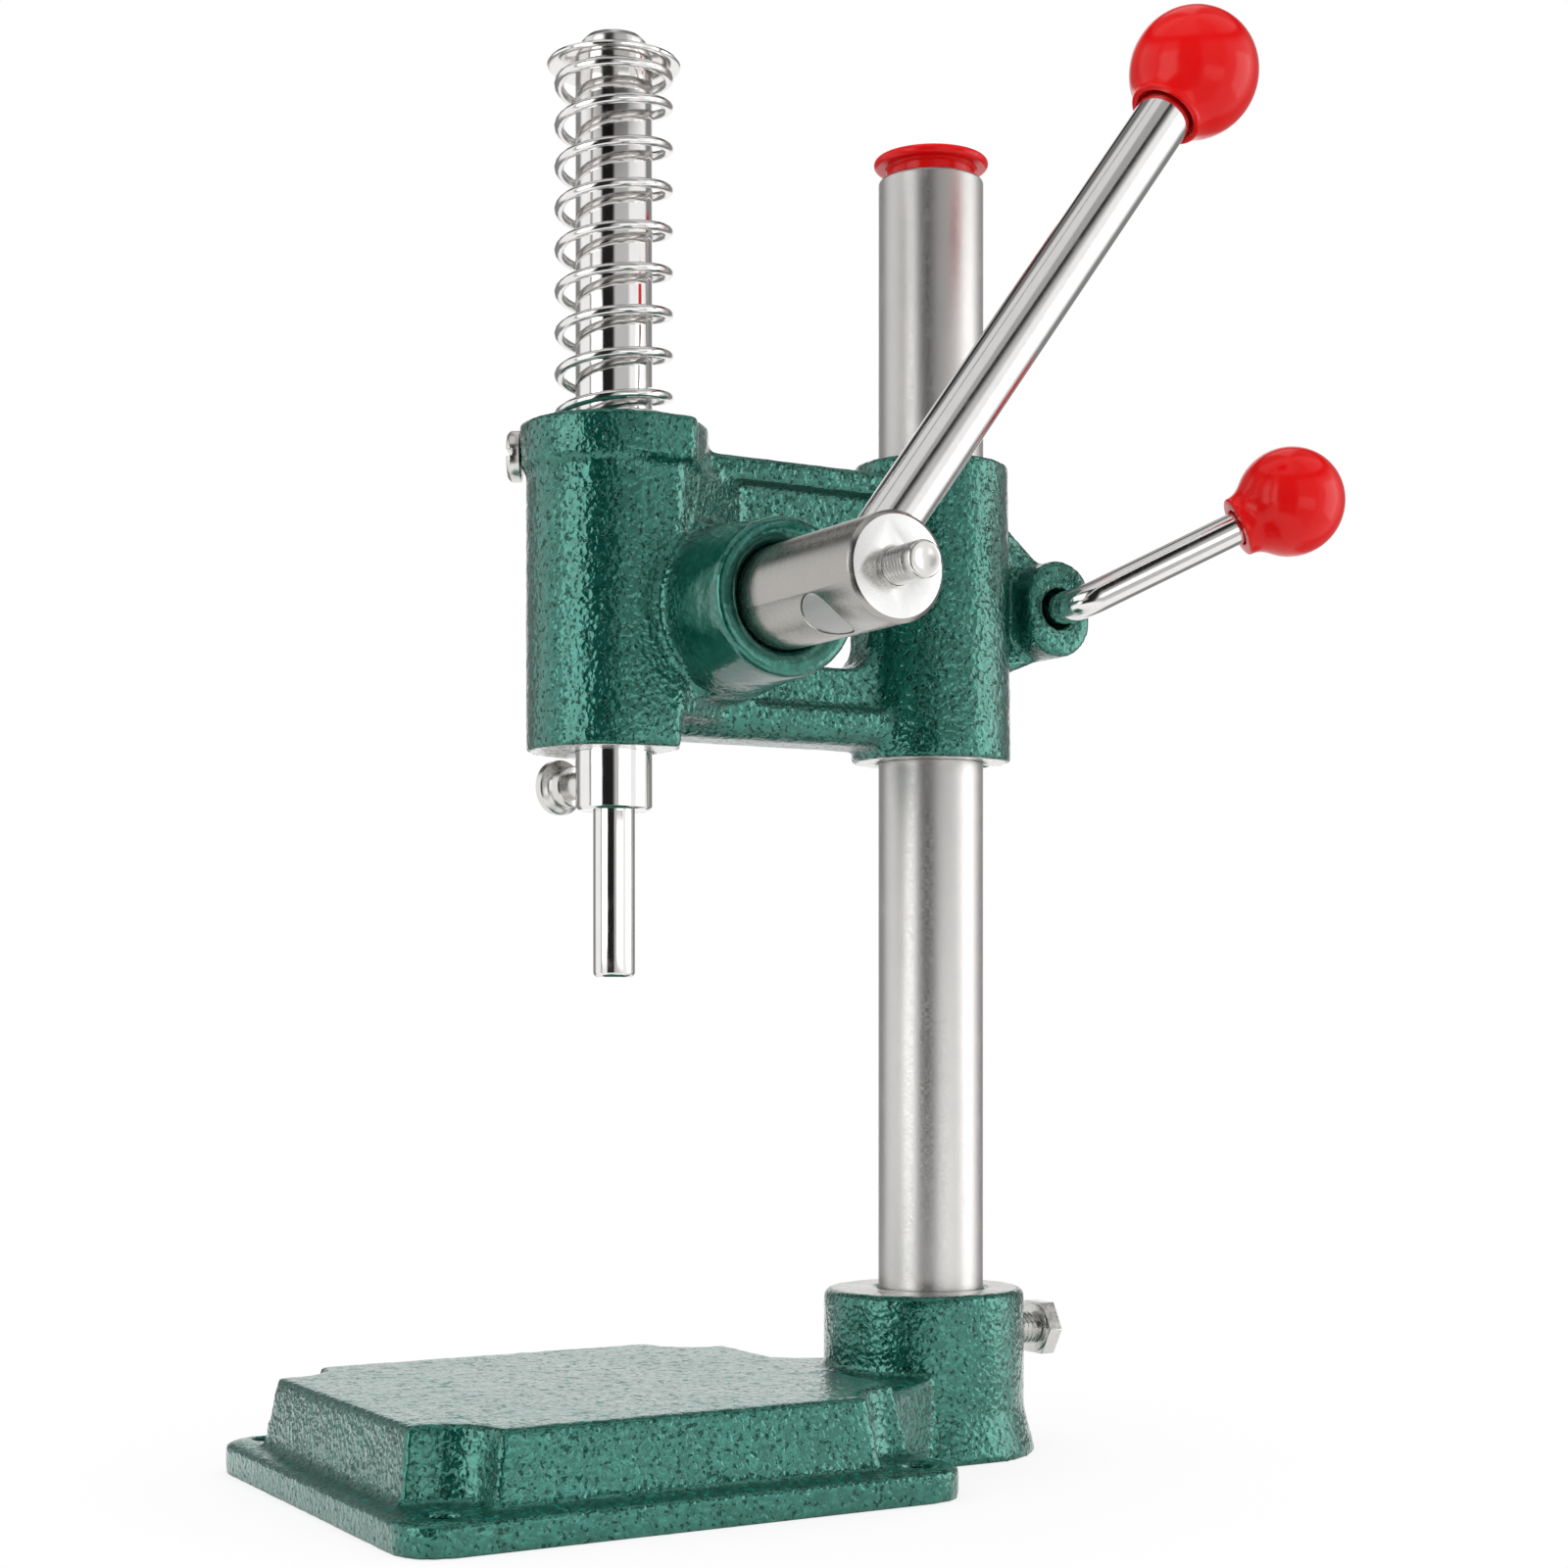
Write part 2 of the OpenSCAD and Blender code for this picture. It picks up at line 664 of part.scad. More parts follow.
// Half the angle of a pinion tooth at radius r
function half_tooth_deg(r) = 90 / pinion_teeth - tooth_gap / 2 / pitch_r * 180 / PI
    + involute_deg(pitch_r) - involute_deg(max(r, base_r));

function flank_r(k) = base_r + (tip_r - base_r) * k / flank_steps;

function tooth_points(turn) = concat(
    [let (a = turn - half_tooth_deg(base_r)) root_r * [cos(a), sin(a)]],
    [for (k = [0:flank_steps]) let (r = flank_r(k), a = turn - half_tooth_deg(r)) r * [cos(a), sin(a)]],
    [for (k = [flank_steps:-1:0]) let (r = flank_r(k), a = turn + half_tooth_deg(r)) r * [cos(a), sin(a)]],
    [let (a = turn + half_tooth_deg(base_r)) root_r * [cos(a), sin(a)]]);

module pinion_outline() {
    polygon([for (t = [0:pinion_teeth - 1]) each tooth_points(rack_side_deg + t * 360 / pinion_teeth)]);
}

module pinion_shaft() color(satin_steel) difference() {
    at_pinion() {
        // One tooth points straight at the rack
        rotate([90, 0, 90]) translate([0, 0, -pinion_face_w / 2]) linear_extrude(pinion_face_w) pinion_outline();
        rod_x(cover_end_t + journal_end_gap - cover_seat_x - cover_t, 0, journal_r);
        rod_x(0, hub_reach - hub_chamfer, hub_d / 2);
        translate([hub_reach - hub_chamfer, 0, 0]) rotate([0, 90, 0])
            cylinder(h = hub_chamfer, r1 = hub_d / 2, r2 = hub_d / 2 - hub_chamfer, $fn = round_fn);
    }
    along_lever() translate([0, 0, -hub_d]) cylinder(h = 2 * hub_d, r = lever_d / 2 + sliding_gap, $fn = round_fn);
    at_pinion() rod_x(lever_x, hub_reach + cut, set_screw_d / 2);
}

module thrust_ring(x, inner_r, outer_r) {
    at_pinion() difference() {
        rod_x(x, x + thrust_t, outer_r);
        rod_x(x - cut, x + thrust_t + cut, inner_r);
    }
}

module thrust_washer_right() color(bright_steel)
    thrust_ring(pinion_face_w / 2 + thrust_gap, hub_d / 2 + loose_gap, root_r + gear_module);

module thrust_washer_left() color(bright_steel)
    thrust_ring(-pinion_face_w / 2 - thrust_gap - thrust_t, journal_r + loose_gap, root_r);

module cover_screw_places() {
    for (k = [0:cover_screw_count - 1]) rotate([45 + k * 360 / cover_screw_count, 0, 0])
        translate([0, cover_screw_r, 0]) children();
}

module pinion_cover() color(green) at_pinion() difference() {
    union() {
        rod_x(-cover_seat_x - cover_t, -cover_seat_x, pad_r);
        rod_x(-cover_seat_x - cut, -chamber_half_w, chamber_r - sliding_gap);
    }
    rod_x(cover_end_t - cover_seat_x - cover_t, 0, journal_r + sliding_gap);
    cover_screw_places() rod_x(-cover_seat_x - cover_t - cut, cut - cover_seat_x,
                               cover_screw_d / 2 + loose_gap);
}

module cover_screws() color(bright_steel) at_pinion() cover_screw_places() difference() {
    face_x = -cover_seat_x - cover_t;
    union() {
        rod_x(face_x - cover_screw_head_h, face_x, cover_screw_head_d / 2);
        rod_x(face_x, cover_screw_l - cover_seat_x - cut, cover_screw_d / 2 - sliding_gap);
    }
    translate([face_x - cover_screw_head_h - cut, 0, 0]) rotate([0, 90, 0])
        cylinder(h = cut + cover_screw_head_h / 2, d = cover_screw_d * cover_screw_socket_share, $fn = 6);
}

// Lever

lever_rod_end = lever_len - lever_neck_back + lever_socket_depth - touch_gap;

module lever_rod() color(bright_steel) {
    along_lever() {
        cylinder(h = lever_rod_end, d = lever_d, $fn = round_fn);
        translate([0, 0, lever_rod_end - cut])
            cylinder(h = insert_l + cut, d = lever_thread_d, $fn = round_fn);
    }
    // Lower end, ground flush with the round of the hub
    intersection() {
        along_lever() translate([0, 0, -hub_d]) cylinder(h = hub_d, d = lever_d, $fn = round_fn);
        at_pinion() rod_x(0, hub_reach, hub_d / 2);
    }
}

module lever_ball() color(red_plastic) along_lever()
    knob(lever_len, lever_ball_d, lever_neck_back, lever_neck_r, lever_d, lever_socket_depth,
         lever_thread_d + 2 * insert_wall, insert_l + 2 * touch_gap);

module lever_ball_insert() color(brass) along_lever()
    knob_insert(lever_len - lever_neck_back + lever_socket_depth, lever_thread_d, insert_l);

module lever_set_screw() color(bright_steel) at_pinion() {
    rod_x(lever_x + lever_d / 2 + sliding_gap, hub_reach + set_screw_out - set_screw_chamfer,
          set_screw_d / 2 - sliding_gap);
    translate([hub_reach + set_screw_out - set_screw_chamfer, 0, 0]) rotate([0, 90, 0])
        cylinder(h = set_screw_chamfer, r1 = set_screw_d / 2 - sliding_gap,
                 r2 = set_screw_d / 2 - set_screw_chamfer, $fn = round_fn);
}

// Ram

// Gaps of the rack, one of them level with the pinion axis at rest
module rack_gaps() {
    first = -floor(rack_margin / tooth_pitch);
    last = ceil((ram_travel + rack_margin) / tooth_pitch);
    half_at_pitch = tooth_pitch / 4 + tooth_gap / 4;
    low = gear_module * (1 + root_clear_share);
    high = gear_module + rack_tip_in + cut;
    for (k = [first:last]) translate([0, ram_y + rack_pitch_y, pinion_z + k * tooth_pitch])
        rotate([90, 0, 90]) translate([0, 0, -ram_d]) linear_extrude(2 * ram_d)
            polygon([[-low, half_at_pitch - low * tan(pressure_deg)],
                     [-low, low * tan(pressure_deg) - half_at_pitch],
                     [high, -half_at_pitch - high * tan(pressure_deg)],
                     [high, half_at_pitch + high * tan(pressure_deg)]]);
}

// Flat along the rack's tips
module rack_flat() {
    translate([-ram_d, ram_y + ram_d / 2 - rack_tip_in, pinion_z - rack_margin])
        cube([2 * ram_d, ram_d, ram_travel + 2 * rack_margin]);
}

module ram() color(bright_steel) difference() {
    translate([0, ram_y, 0]) {
        translate([0, 0, ram_low_z])
            cylinder(h = ram_chamfer, r1 = ram_d / 2 - ram_chamfer, r2 = ram_d / 2, $fn = round_fn);
        translate([0, 0, ram_low_z + ram_chamfer])
            cylinder(h = ram_top_z - ram_low_z - ram_chamfer, d = ram_d, $fn = round_fn);
    }
    rack_flat();
    rack_gaps();
    translate([0, ram_y, ram_low_z - cut])
        cylinder(h = punch_bore_l + cut, r = punch_shank_d / 2 + sliding_gap, $fn = round_fn);
    translate([0, ram_y, ram_top_z - top_screw_l]) cylinder(h = top_screw_l + cut, d = top_screw_d, $fn = round_fn);
    at_ram_side(punch_screw_z, punch_screw_turn_deg) rod_front(0, -ram_d, punch_screw_d / 2);
}

module ram_top_screw() color(bright_steel) translate([0, ram_y, ram_top_z + washer_crown_h + washer_rim_t])
    difference() {
        union() {
            rotate_extrude($fn = round_fn)
                polygon([[0, 0], for (p = top_screw_dome_shares) [top_screw_head_r * p[0], top_screw_head_h * p[1]]]);
            translate([0, 0, cut - top_screw_l]) cylinder(h = top_screw_l, r = top_screw_d / 2 - sliding_gap,
                                                          $fn = round_fn);
        }
        for (turn = [0, 90]) rotate([0, 0, turn])
            translate([-top_screw_slot_l / 2, -top_screw_slot_w / 2, top_screw_head_h - top_screw_slot_depth])
                cube([top_screw_slot_l, top_screw_slot_w, top_screw_slot_depth + cut]);
    }

module spring_washer() color(bright_steel) translate([0, ram_y, ram_top_z]) rotate_extrude($fn = round_fn)
    polygon([[top_screw_d / 2 + loose_gap, 0], [washer_d / 2 - washer_rim_t / 3, 0],
             [washer_d / 2, washer_rim_t / 3], [washer_d / 2, washer_rim_t],
             [washer_crown_r, washer_rim_t + washer_crown_h * washer_crown_share],
             [top_screw_head_r, washer_rim_t + washer_crown_h],
             [top_screw_d / 2 + loose_gap, washer_rim_t + washer_crown_h]]);

// Height of the wire's centre after t curls: close at the ends, evenly open between
function wire_z(t) = spring_low_z + wire_d / 2
    + closed_pitch * (min(t, closed_curls) + max(0, t - spring_curls + closed_curls))
    + open_pitch * max(0, min(t, spring_curls - closed_curls) - closed_curls);

function wire_point(t) = [coil_r * cos(360 * t), ram_y + coil_r * sin(360 * t), wire_z(t)];

// Level direction in which the wire runs on after t curls
function wire_run(t) = [-sin(360 * t), cos(360 * t), 0];

// The wire's centre line, with a straight run of one wire diameter at each end
wire_path = let (n = spring_curls * curl_rings) concat(
    [wire_point(0) - wire_d * wire_run(0)],
    [for (k = [0:n]) wire_point(k / curl_rings)],
    [wire_point(spring_curls) + wire_d * wire_run(spring_curls)]);

function unit(v) = v / norm(v);

function wire_direction(k) = unit(wire_path[min(k + 1, len(wire_path) - 1)] - wire_path[max(k - 1, 0)]);

// Ring of the wire's surface at path point k, square to the wire
function wire_ring(k) = let (d = wire_direction(k), side = unit(cross(d, [0, 0, 1])), up = cross(side, d))
    [for (s = [0:wire_sides - 1]) let (a = (s + 0.5) * 360 / wire_sides)
        wire_path[k] + wire_d / 2 * (cos(a) * side + sin(a) * up)];

module return_spring() color(bright_steel) {
    rings = len(wire_path);
    points = [for (k = [0:rings - 1]) each wire_ring(k)];
    sides = [for (k = [0:rings - 2], s = [0:wire_sides - 1])
        let (a = k * wire_sides + s, b = k * wire_sides + (s + 1) % wire_sides)
        each [[a, b, b + wire_sides], [a, b + wire_sides, a + wire_sides]]];
    last = (rings - 1) * wire_sides;
    ends = [for (s = [1:wire_sides - 2]) each [[0, s + 1, s], [last, last + s, last + s + 1]]];
    polyhedron(points = points, faces = concat(sides, ends));
}

// Least gap between one curl and the next, measured on the wire's own points
wire_gaps = [for (k = [0:(spring_curls - 1) * curl_rings])
    min([for (j = [k + curl_rings - 2:min(k + curl_rings + 2, spring_curls * curl_rings)])
        norm(wire_path[j + 1] - wire_path[k + 1])]) - wire_d];
echo(least_gap_in_spring = min(wire_gaps));

module drag_screw() color(bright_steel) at_drag_screw() difference() {
    union() {
        rod_front(-ram_d / 2 - drag_pad_t - 2 * sliding_gap, drag_seat_y, drag_screw_d / 2 - sliding_gap);
        translate([0, drag_seat_y, 0]) rotate([90, 0, 0]) rotate_extrude($fn = round_fn)
            polygon([[0, 0], [drag_screw_head_d / 2, 0],
                     [drag_screw_head_d / 2, drag_screw_head_h - drag_screw_dome_h],
                     [drag_screw_head_d / 2 - drag_screw_dome_h, drag_screw_head_h], [0, drag_screw_head_h]]);
    }
    translate([-drag_screw_head_d, drag_seat_y - drag_screw_head_h - cut, -drag_slot_w / 2])
        cube([2 * drag_screw_head_d, drag_slot_depth + cut, drag_slot_w]);
}

// Brass pad that the drag screw presses on the ram
module drag_pad() color(brass) at_drag_screw() difference() {
    rod_front(0, -ram_d / 2 - drag_pad_t - sliding_gap, drag_screw_d / 2 - sliding_gap);
    translate([0, 0, -drag_screw_d]) cylinder(h = 2 * drag_screw_d, r = ram_d / 2 + sliding_gap, $fn = round_fn);
}

// Punch rod, its shoulder against the end of the ram and its shank in the ram's bore
module punch_rod() color(bright_steel) translate([0, ram_y, punch_low_z]) {
    cylinder(h = ram_chamfer, r1 = punch_d / 2 - ram_chamfer, r2 = punch_d / 2, $fn = round_fn);
    translate([0, 0, ram_chamfer]) cylinder(h = punch_out - ram_chamfer, d = punch_d, $fn = round_fn);
    translate([0, 0, punch_out - cut]) cylinder(h = punch_bore_l + cut, d = punch_shank_d, $fn = round_fn);
}

// Thumb screw that holds the punch rod
module punch_screw() color(bright_steel) at_ram_side(punch_screw_z, punch_screw_turn_deg) {
    neck_y = -ram_d / 2 - punch_screw_out;
    head_y = neck_y - punch_screw_neck_l;
    head_r = punch_screw_head_d / 2;
    rod_front(-punch_shank_d / 2 - sliding_gap, head_y, punch_screw_d / 2 - sliding_gap);
    rod_front(neck_y, head_y, punch_screw_neck_d / 2);
    translate([0, head_y, 0]) rotate([90, 0, 0]) rotate_extrude($fn = round_fn)
        polygon([[0, 0], [head_r - punch_screw_chamfer, 0], [head_r, punch_screw_chamfer],
                 [head_r, punch_screw_head_t - punch_screw_chamfer],
                 [head_r - punch_screw_chamfer, punch_screw_head_t], [0, punch_screw_head_t]]);
}

// Clamp lever

module clamp_lever() color(bright_steel) {
    arm = lock_len - lock_neck_back + lock_socket_depth - touch_gap;
    at_ear() rotate([lock_rise_deg, 0, 0]) {
        rod_x(lock_nut_pocket - ear_back_face_x - lock_nut_t - lock_thread_past, lock_bend_x + bend_overlap,
              lock_d / 2);
        // Bend in the plane of the arm, a hair fatter than the bar
        translate([lock_bend_x, lock_bend_r, 0]) rotate([0, 0, -90])
            rotate_extrude(angle = lock_bend_deg, $fn = round_fn)
                translate([lock_bend_r, 0]) circle(d = lock_d + 2 * bend_swell, $fn = round_fn);
    }
    along_lock_arm() {
        translate([0, 0, -bend_overlap]) cylinder(h = arm + bend_overlap, d = lock_d, $fn = round_fn);
        translate([0, 0, arm - cut]) cylinder(h = lock_insert_l + cut, d = lock_thread_d, $fn = round_fn);
    }
}

module clamp_ball() color(red_plastic) along_lock_arm()
    knob(lock_len, lock_ball_d, lock_neck_back, lock_neck_r, lock_d, lock_socket_depth,
         lock_thread_d + 2 * insert_wall, lock_insert_l + 2 * touch_gap);

module clamp_ball_insert() color(brass) along_lock_arm()
    knob_insert(lock_len - lock_neck_back + lock_socket_depth, lock_thread_d, lock_insert_l);

module clamp_nut() color(bright_steel) at_ear() difference() {
    seat_x = lock_nut_pocket - ear_back_face_x;
    translate([seat_x - lock_nut_t, 0, 0]) rotate([0, 90, 0])
        cylinder(h = lock_nut_t, r = lock_nut_af / 2 / cos(30), $fn = 6);
    rod_x(seat_x - lock_nut_t - cut, seat_x + cut, lock_d / 2 + sliding_gap);
}

base_casting();
socket_bolt();
column_tube();
column_cap();
head_casting();
pinion_shaft();
thrust_washer_right();
thrust_washer_left();
pinion_cover();
cover_screws();
lever_rod();
lever_ball();
lever_ball_insert();
lever_set_screw();
ram();
ram_top_screw();
spring_washer();
return_spring();
drag_screw();
drag_pad();
punch_rod();
punch_screw();
clamp_lever();
clamp_ball();
clamp_ball_insert();
clamp_nut();
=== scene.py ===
import json
import math

import bmesh
import bpy
from bpy.props import FloatProperty, FloatVectorProperty, IntProperty, PointerProperty
from mathutils import Matrix, Vector, noise


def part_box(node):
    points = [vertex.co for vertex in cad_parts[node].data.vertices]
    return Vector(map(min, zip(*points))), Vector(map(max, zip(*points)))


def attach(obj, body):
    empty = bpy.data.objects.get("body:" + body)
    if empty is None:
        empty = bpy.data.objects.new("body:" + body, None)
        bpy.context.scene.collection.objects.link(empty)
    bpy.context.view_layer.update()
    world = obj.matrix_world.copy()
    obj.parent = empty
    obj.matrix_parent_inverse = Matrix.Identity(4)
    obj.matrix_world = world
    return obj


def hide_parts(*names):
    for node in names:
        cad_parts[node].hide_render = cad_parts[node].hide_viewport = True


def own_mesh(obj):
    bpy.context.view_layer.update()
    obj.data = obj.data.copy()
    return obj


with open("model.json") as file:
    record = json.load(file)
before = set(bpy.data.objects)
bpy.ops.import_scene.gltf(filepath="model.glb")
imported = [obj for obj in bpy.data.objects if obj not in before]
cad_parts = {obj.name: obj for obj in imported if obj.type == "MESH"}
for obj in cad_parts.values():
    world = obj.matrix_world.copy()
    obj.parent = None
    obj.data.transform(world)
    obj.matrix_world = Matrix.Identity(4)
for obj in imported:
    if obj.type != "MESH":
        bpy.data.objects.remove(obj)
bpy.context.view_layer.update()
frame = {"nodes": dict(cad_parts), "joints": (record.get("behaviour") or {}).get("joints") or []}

bl_info = {
    "name": "Button Press",
    "version": (1, 0, 0),
    "blender": (4, 5, 0),
    "location": "View3D > Sidebar > Press",
    "description": "Dresses a bench lever press: hammer-painted iron, bright steel and red knobs",
    "category": "Object",
}

# Axes that the pieces turn on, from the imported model. Lengths are metres throughout.
AXES = {joint["name"]: Vector(joint["pos_m"]) for joint in frame["joints"] if "pos_m" in joint}
PINION = AXES["lever_turn"]
EAR = AXES["clamp_turn"]
COLUMN_Y = AXES["column_swivel"].y

# Radii that the bores of the castings keep round what slides or turns in them
RAM_BORE, COLUMN_BORE, PINION_BORE, COVER_BORE, EAR_BORE = 0.01125, 0.01625, 0.01475, 0.0082, 0.0056

# Screws: the thread's pitch and depth, and the shank beside the thread as a share of its radius
THREAD_PITCH = 0.0015
THREAD_DEPTH = 0.6 * THREAD_PITCH
SHANK = 0.84

# Radius of the hub, and depth of the recess that a knob has for its bar
HUB_R = 0.0145
KNOB_RECESS = 0.0023

# Distances within which corners are merged, in new pieces and in copies of CAD nodes
MERGE, CAD_MERGE = 1e-7, 2e-6

# Height or place beyond every piece, for a finish that has no such face
NOWHERE = 9.0

# The photograph's camera: its place, its heading and dip in degrees, its lens in mm and its upward shift
CAMERA_AT = (0.6643, -0.3181, 0.1347)
CAMERA_HEADING, CAMERA_DIP = 59.96, 0.28
CAMERA_LENS, CAMERA_SENSOR, CAMERA_SHIFT = 59.4, 36.0, 0.152


def node_box(name):
    """Lowest corner, highest corner and middle of a node."""
    low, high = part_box(name)
    return low, high, (low + high) / 2


RAM_LOW, _, RAM_MIDDLE = node_box("ram")
RAM_Y = RAM_MIDDLE.y
HEAD_LOW, _, _ = node_box("head_casting")
_, BASE_HIGH, _ = node_box("base_casting")


# Properties

class PressSizes(bpy.types.PropertyGroup):
    cast_grid: FloatProperty(
        name="Casting grid", description="Cell of the grid that the castings are rebuilt on",
        default=0.00115, unit="LENGTH")
    cast_rounding: IntProperty(
        name="Casting rounding", description="Smoothing passes over the castings' edges", default=7)
    cast_skin: FloatProperty(
        name="Casting skin", description="Height of the lumps in the cast surface",
        default=0.00012, unit="LENGTH")
    edge_break: FloatProperty(
        name="Broken edge", description="Bevel on the edges of the pinion and its hub",
        default=0.0004, unit="LENGTH")
    wire: FloatProperty(
        name="Spring wire", description="Diameter of the return spring's wire",
        default=0.0028, unit="LENGTH")
    curls: FloatProperty(
        name="Spring curls", description="Number of curls in the return spring", default=9.5)
    clamp_bend: FloatProperty(
        name="Clamp bend", description="Bend of the clamp bar away from its thread",
        default=math.radians(63), unit="ROTATION")
    clamp_bend_x: FloatProperty(
        name="Clamp bend start", description="Where the clamp bar starts to bend",
        default=0.022, unit="LENGTH")
    clamp_bend_r: FloatProperty(
        name="Clamp bend radius", description="Radius of the clamp bar's bend",
        default=0.010, unit="LENGTH")
    thumb_turn: FloatProperty(
        name="Thumb screw turn", description="Turn of the punch's thumb screw to the left",
        default=math.radians(75), unit="ROTATION")
    turned_sides: IntProperty(
        name="Turned sides", description="Facets round the column, the cap and the bars", default=96)


class PressFinish(bpy.types.PropertyGroup):
    paint_deep: FloatVectorProperty(
        name="Deep paint", description="Green paint where it lies thick",
        subtype="COLOR", default=(0.003, 0.120, 0.084), min=0, max=1)
    paint_thin: FloatVectorProperty(
        name="Thin paint", description="Green paint on the crests",
        subtype="COLOR", default=(0.022, 0.205, 0.155), min=0, max=1)
    hammer_depth: FloatProperty(
        name="Hammer depth", description="Height of the wrinkles in the paint",
        default=0.00032, unit="LENGTH")
    hammer_count: FloatProperty(
        name="Hammer count", description="Wrinkles of the paint in a metre", default=520.0)
    gloss_index: FloatProperty(
        name="Gloss", description="Refractive index of the paint's clear gloss", default=1.52)
    column_grey: FloatVectorProperty(
        name="Column steel", description="Ground steel of the column",
        subtype="COLOR", default=(0.65, 0.645, 0.64), min=0, max=1)
    bar_grey: FloatVectorProperty(
        name="Polished steel", description="Ram, bars and spring wire",
        subtype="COLOR", default=(0.86, 0.86, 0.86), min=0, max=1)
    hub_grey: FloatVectorProperty(
        name="Hub steel", description="Turned steel of the hub",
        subtype="COLOR", default=(0.44, 0.435, 0.425), min=0, max=1)
    plated_grey: FloatVectorProperty(
        name="Plated steel", description="Zinc-plated screws and washers",
        subtype="COLOR", default=(0.74, 0.74, 0.73), min=0, max=1)
    knob_red: FloatVectorProperty(
        name="Knob red", description="Moulded plastic of the knobs and the cap",
        subtype="COLOR", default=(0.66, 0.004, 0.004), min=0, max=1)


# Node trees

class Nodes:
    """Short hand for one node tree, whose patterns read one output of Texture Coordinate."""

    def __init__(self, tree, coordinates):
        self.tree = tree
        self.point = self.add("ShaderNodeTexCoord").outputs[coordinates]

    def add(self, kind, **values):
        """Adds a node. Values go to the inputs of that name, or else to the node's own settings."""
        node = self.tree.nodes.new(kind)
        for key, value in values.items():
            if key in node.inputs:
                node.inputs[key].default_value = value
            else:
                setattr(node, key, value)
        return node

    def link(self, output, socket):
        self.tree.links.new(output, socket)

    def feed(self, socket, item):
        """Links an output to a socket, or sets the socket to a plain value."""
        if isinstance(item, bpy.types.NodeSocket):
            self.link(item, socket)
        else:
            socket.default_value = item

    def maths(self, operation, a, b):
        node = self.add("ShaderNodeMath", operation=operation)
        self.feed(node.inputs[0], a)
        self.feed(node.inputs[1], b)
        return node.outputs["Value"]

    def plus(self, a, b):
        return self.maths("ADD", a, b)

    def minus(self, a, b):
        return self.maths("SUBTRACT", a, b)

    def times(self, a, b):
        return self.maths("MULTIPLY", a, b)

    def without(self, value, share):
        """What is left of 1 after a share of a value."""
        return self.minus(1.0, self.times(value, share))

    def ranged(self, value, low, high, to_low=0.0, to_high=1.0):
        """Smooth step from to_low at low to to_high at high."""
        node = self.add("ShaderNodeMapRange", interpolation_type="SMOOTHSTEP",
                        **{"From Min": low, "From Max": high, "To Min": to_low, "To Max": to_high})
        self.link(value, node.inputs["Value"])
        return node.outputs["Result"]

    def axis(self, name):
        """The point's place along X, Y or Z."""
        node = self.add("ShaderNodeSeparateXYZ")
        self.link(self.point, node.inputs[0])
        return node.outputs[name]


class Shader(Nodes):
    """Short hand for one material's nodes, in metres on the object."""

    def __init__(self, name):
        self.material = bpy.data.materials.new(name)
        self.material.use_nodes = True
        super().__init__(self.material.node_tree, "Object")
        self.body = self.tree.nodes["Principled BSDF"]

    def stretched(self, scale):
        """The point with its axes stretched."""
        node = self.add("ShaderNodeMapping", Scale=scale)
        self.link(self.point, node.inputs["Vector"])
        return node.outputs["Vector"]

    def noise(self, scale, detail=2.0, rough=0.5, bend=0.0, at=None):
        """Noise of about scale waves in a metre, from 0 to 1."""
        node = self.add("ShaderNodeTexNoise", Scale=scale, Detail=detail, Roughness=rough,
                        Distortion=bend)
        self.link(at or self.point, node.inputs["Vector"])
        return node.outputs["Fac"]

    def cells(self, scale, smooth):
        """Rounded cells, about scale of them in a metre."""
        node = self.add("ShaderNodeTexVoronoi", feature="SMOOTH_F1", Scale=scale, Smoothness=smooth)
        self.link(self.point, node.inputs["Vector"])
        return node.outputs["Distance"]

    def colours(self, value, low, high):
        """Mixes from one colour to another as a value goes from 0 to 1."""
        node = self.add("ShaderNodeMix", data_type="RGBA")
        self.link(value, node.inputs["Factor"])
        for socket, item in ((node.inputs["A"], low), (node.inputs["B"], high)):
            self.feed(socket, item if isinstance(item, bpy.types.NodeSocket) else (*item[:3], 1.0))
        return node.outputs["Result"]

    def bump(self, height, distance, strength=1.0, after=None):
        """Normal of a height that is distance metres at 1, over another bump."""
        node = self.add("ShaderNodeBump", Distance=distance, Strength=strength)
        self.link(height, node.inputs["Height"])
        if after is not None:
            self.link(after, node.inputs["Normal"])
        return node.outputs["Normal"]

    def facing(self, name):
        """The surface's own direction along X, Y or Z."""
        node = self.add("ShaderNodeSeparateXYZ")
        self.link(self.add("ShaderNodeNewGeometry").outputs["Normal"], node.inputs[0])
        return node.outputs[name]

    def set(self, **values):
        """Feeds the surface's inputs, whose names have _ for each space, and returns the material."""
        for key, value in values.items():
            self.feed(self.body.inputs[key.replace("_", " ")], value)
        return self.material


def shaded(colour, share):
    return [min(1.0, c * share) for c in colour]


# Finishes

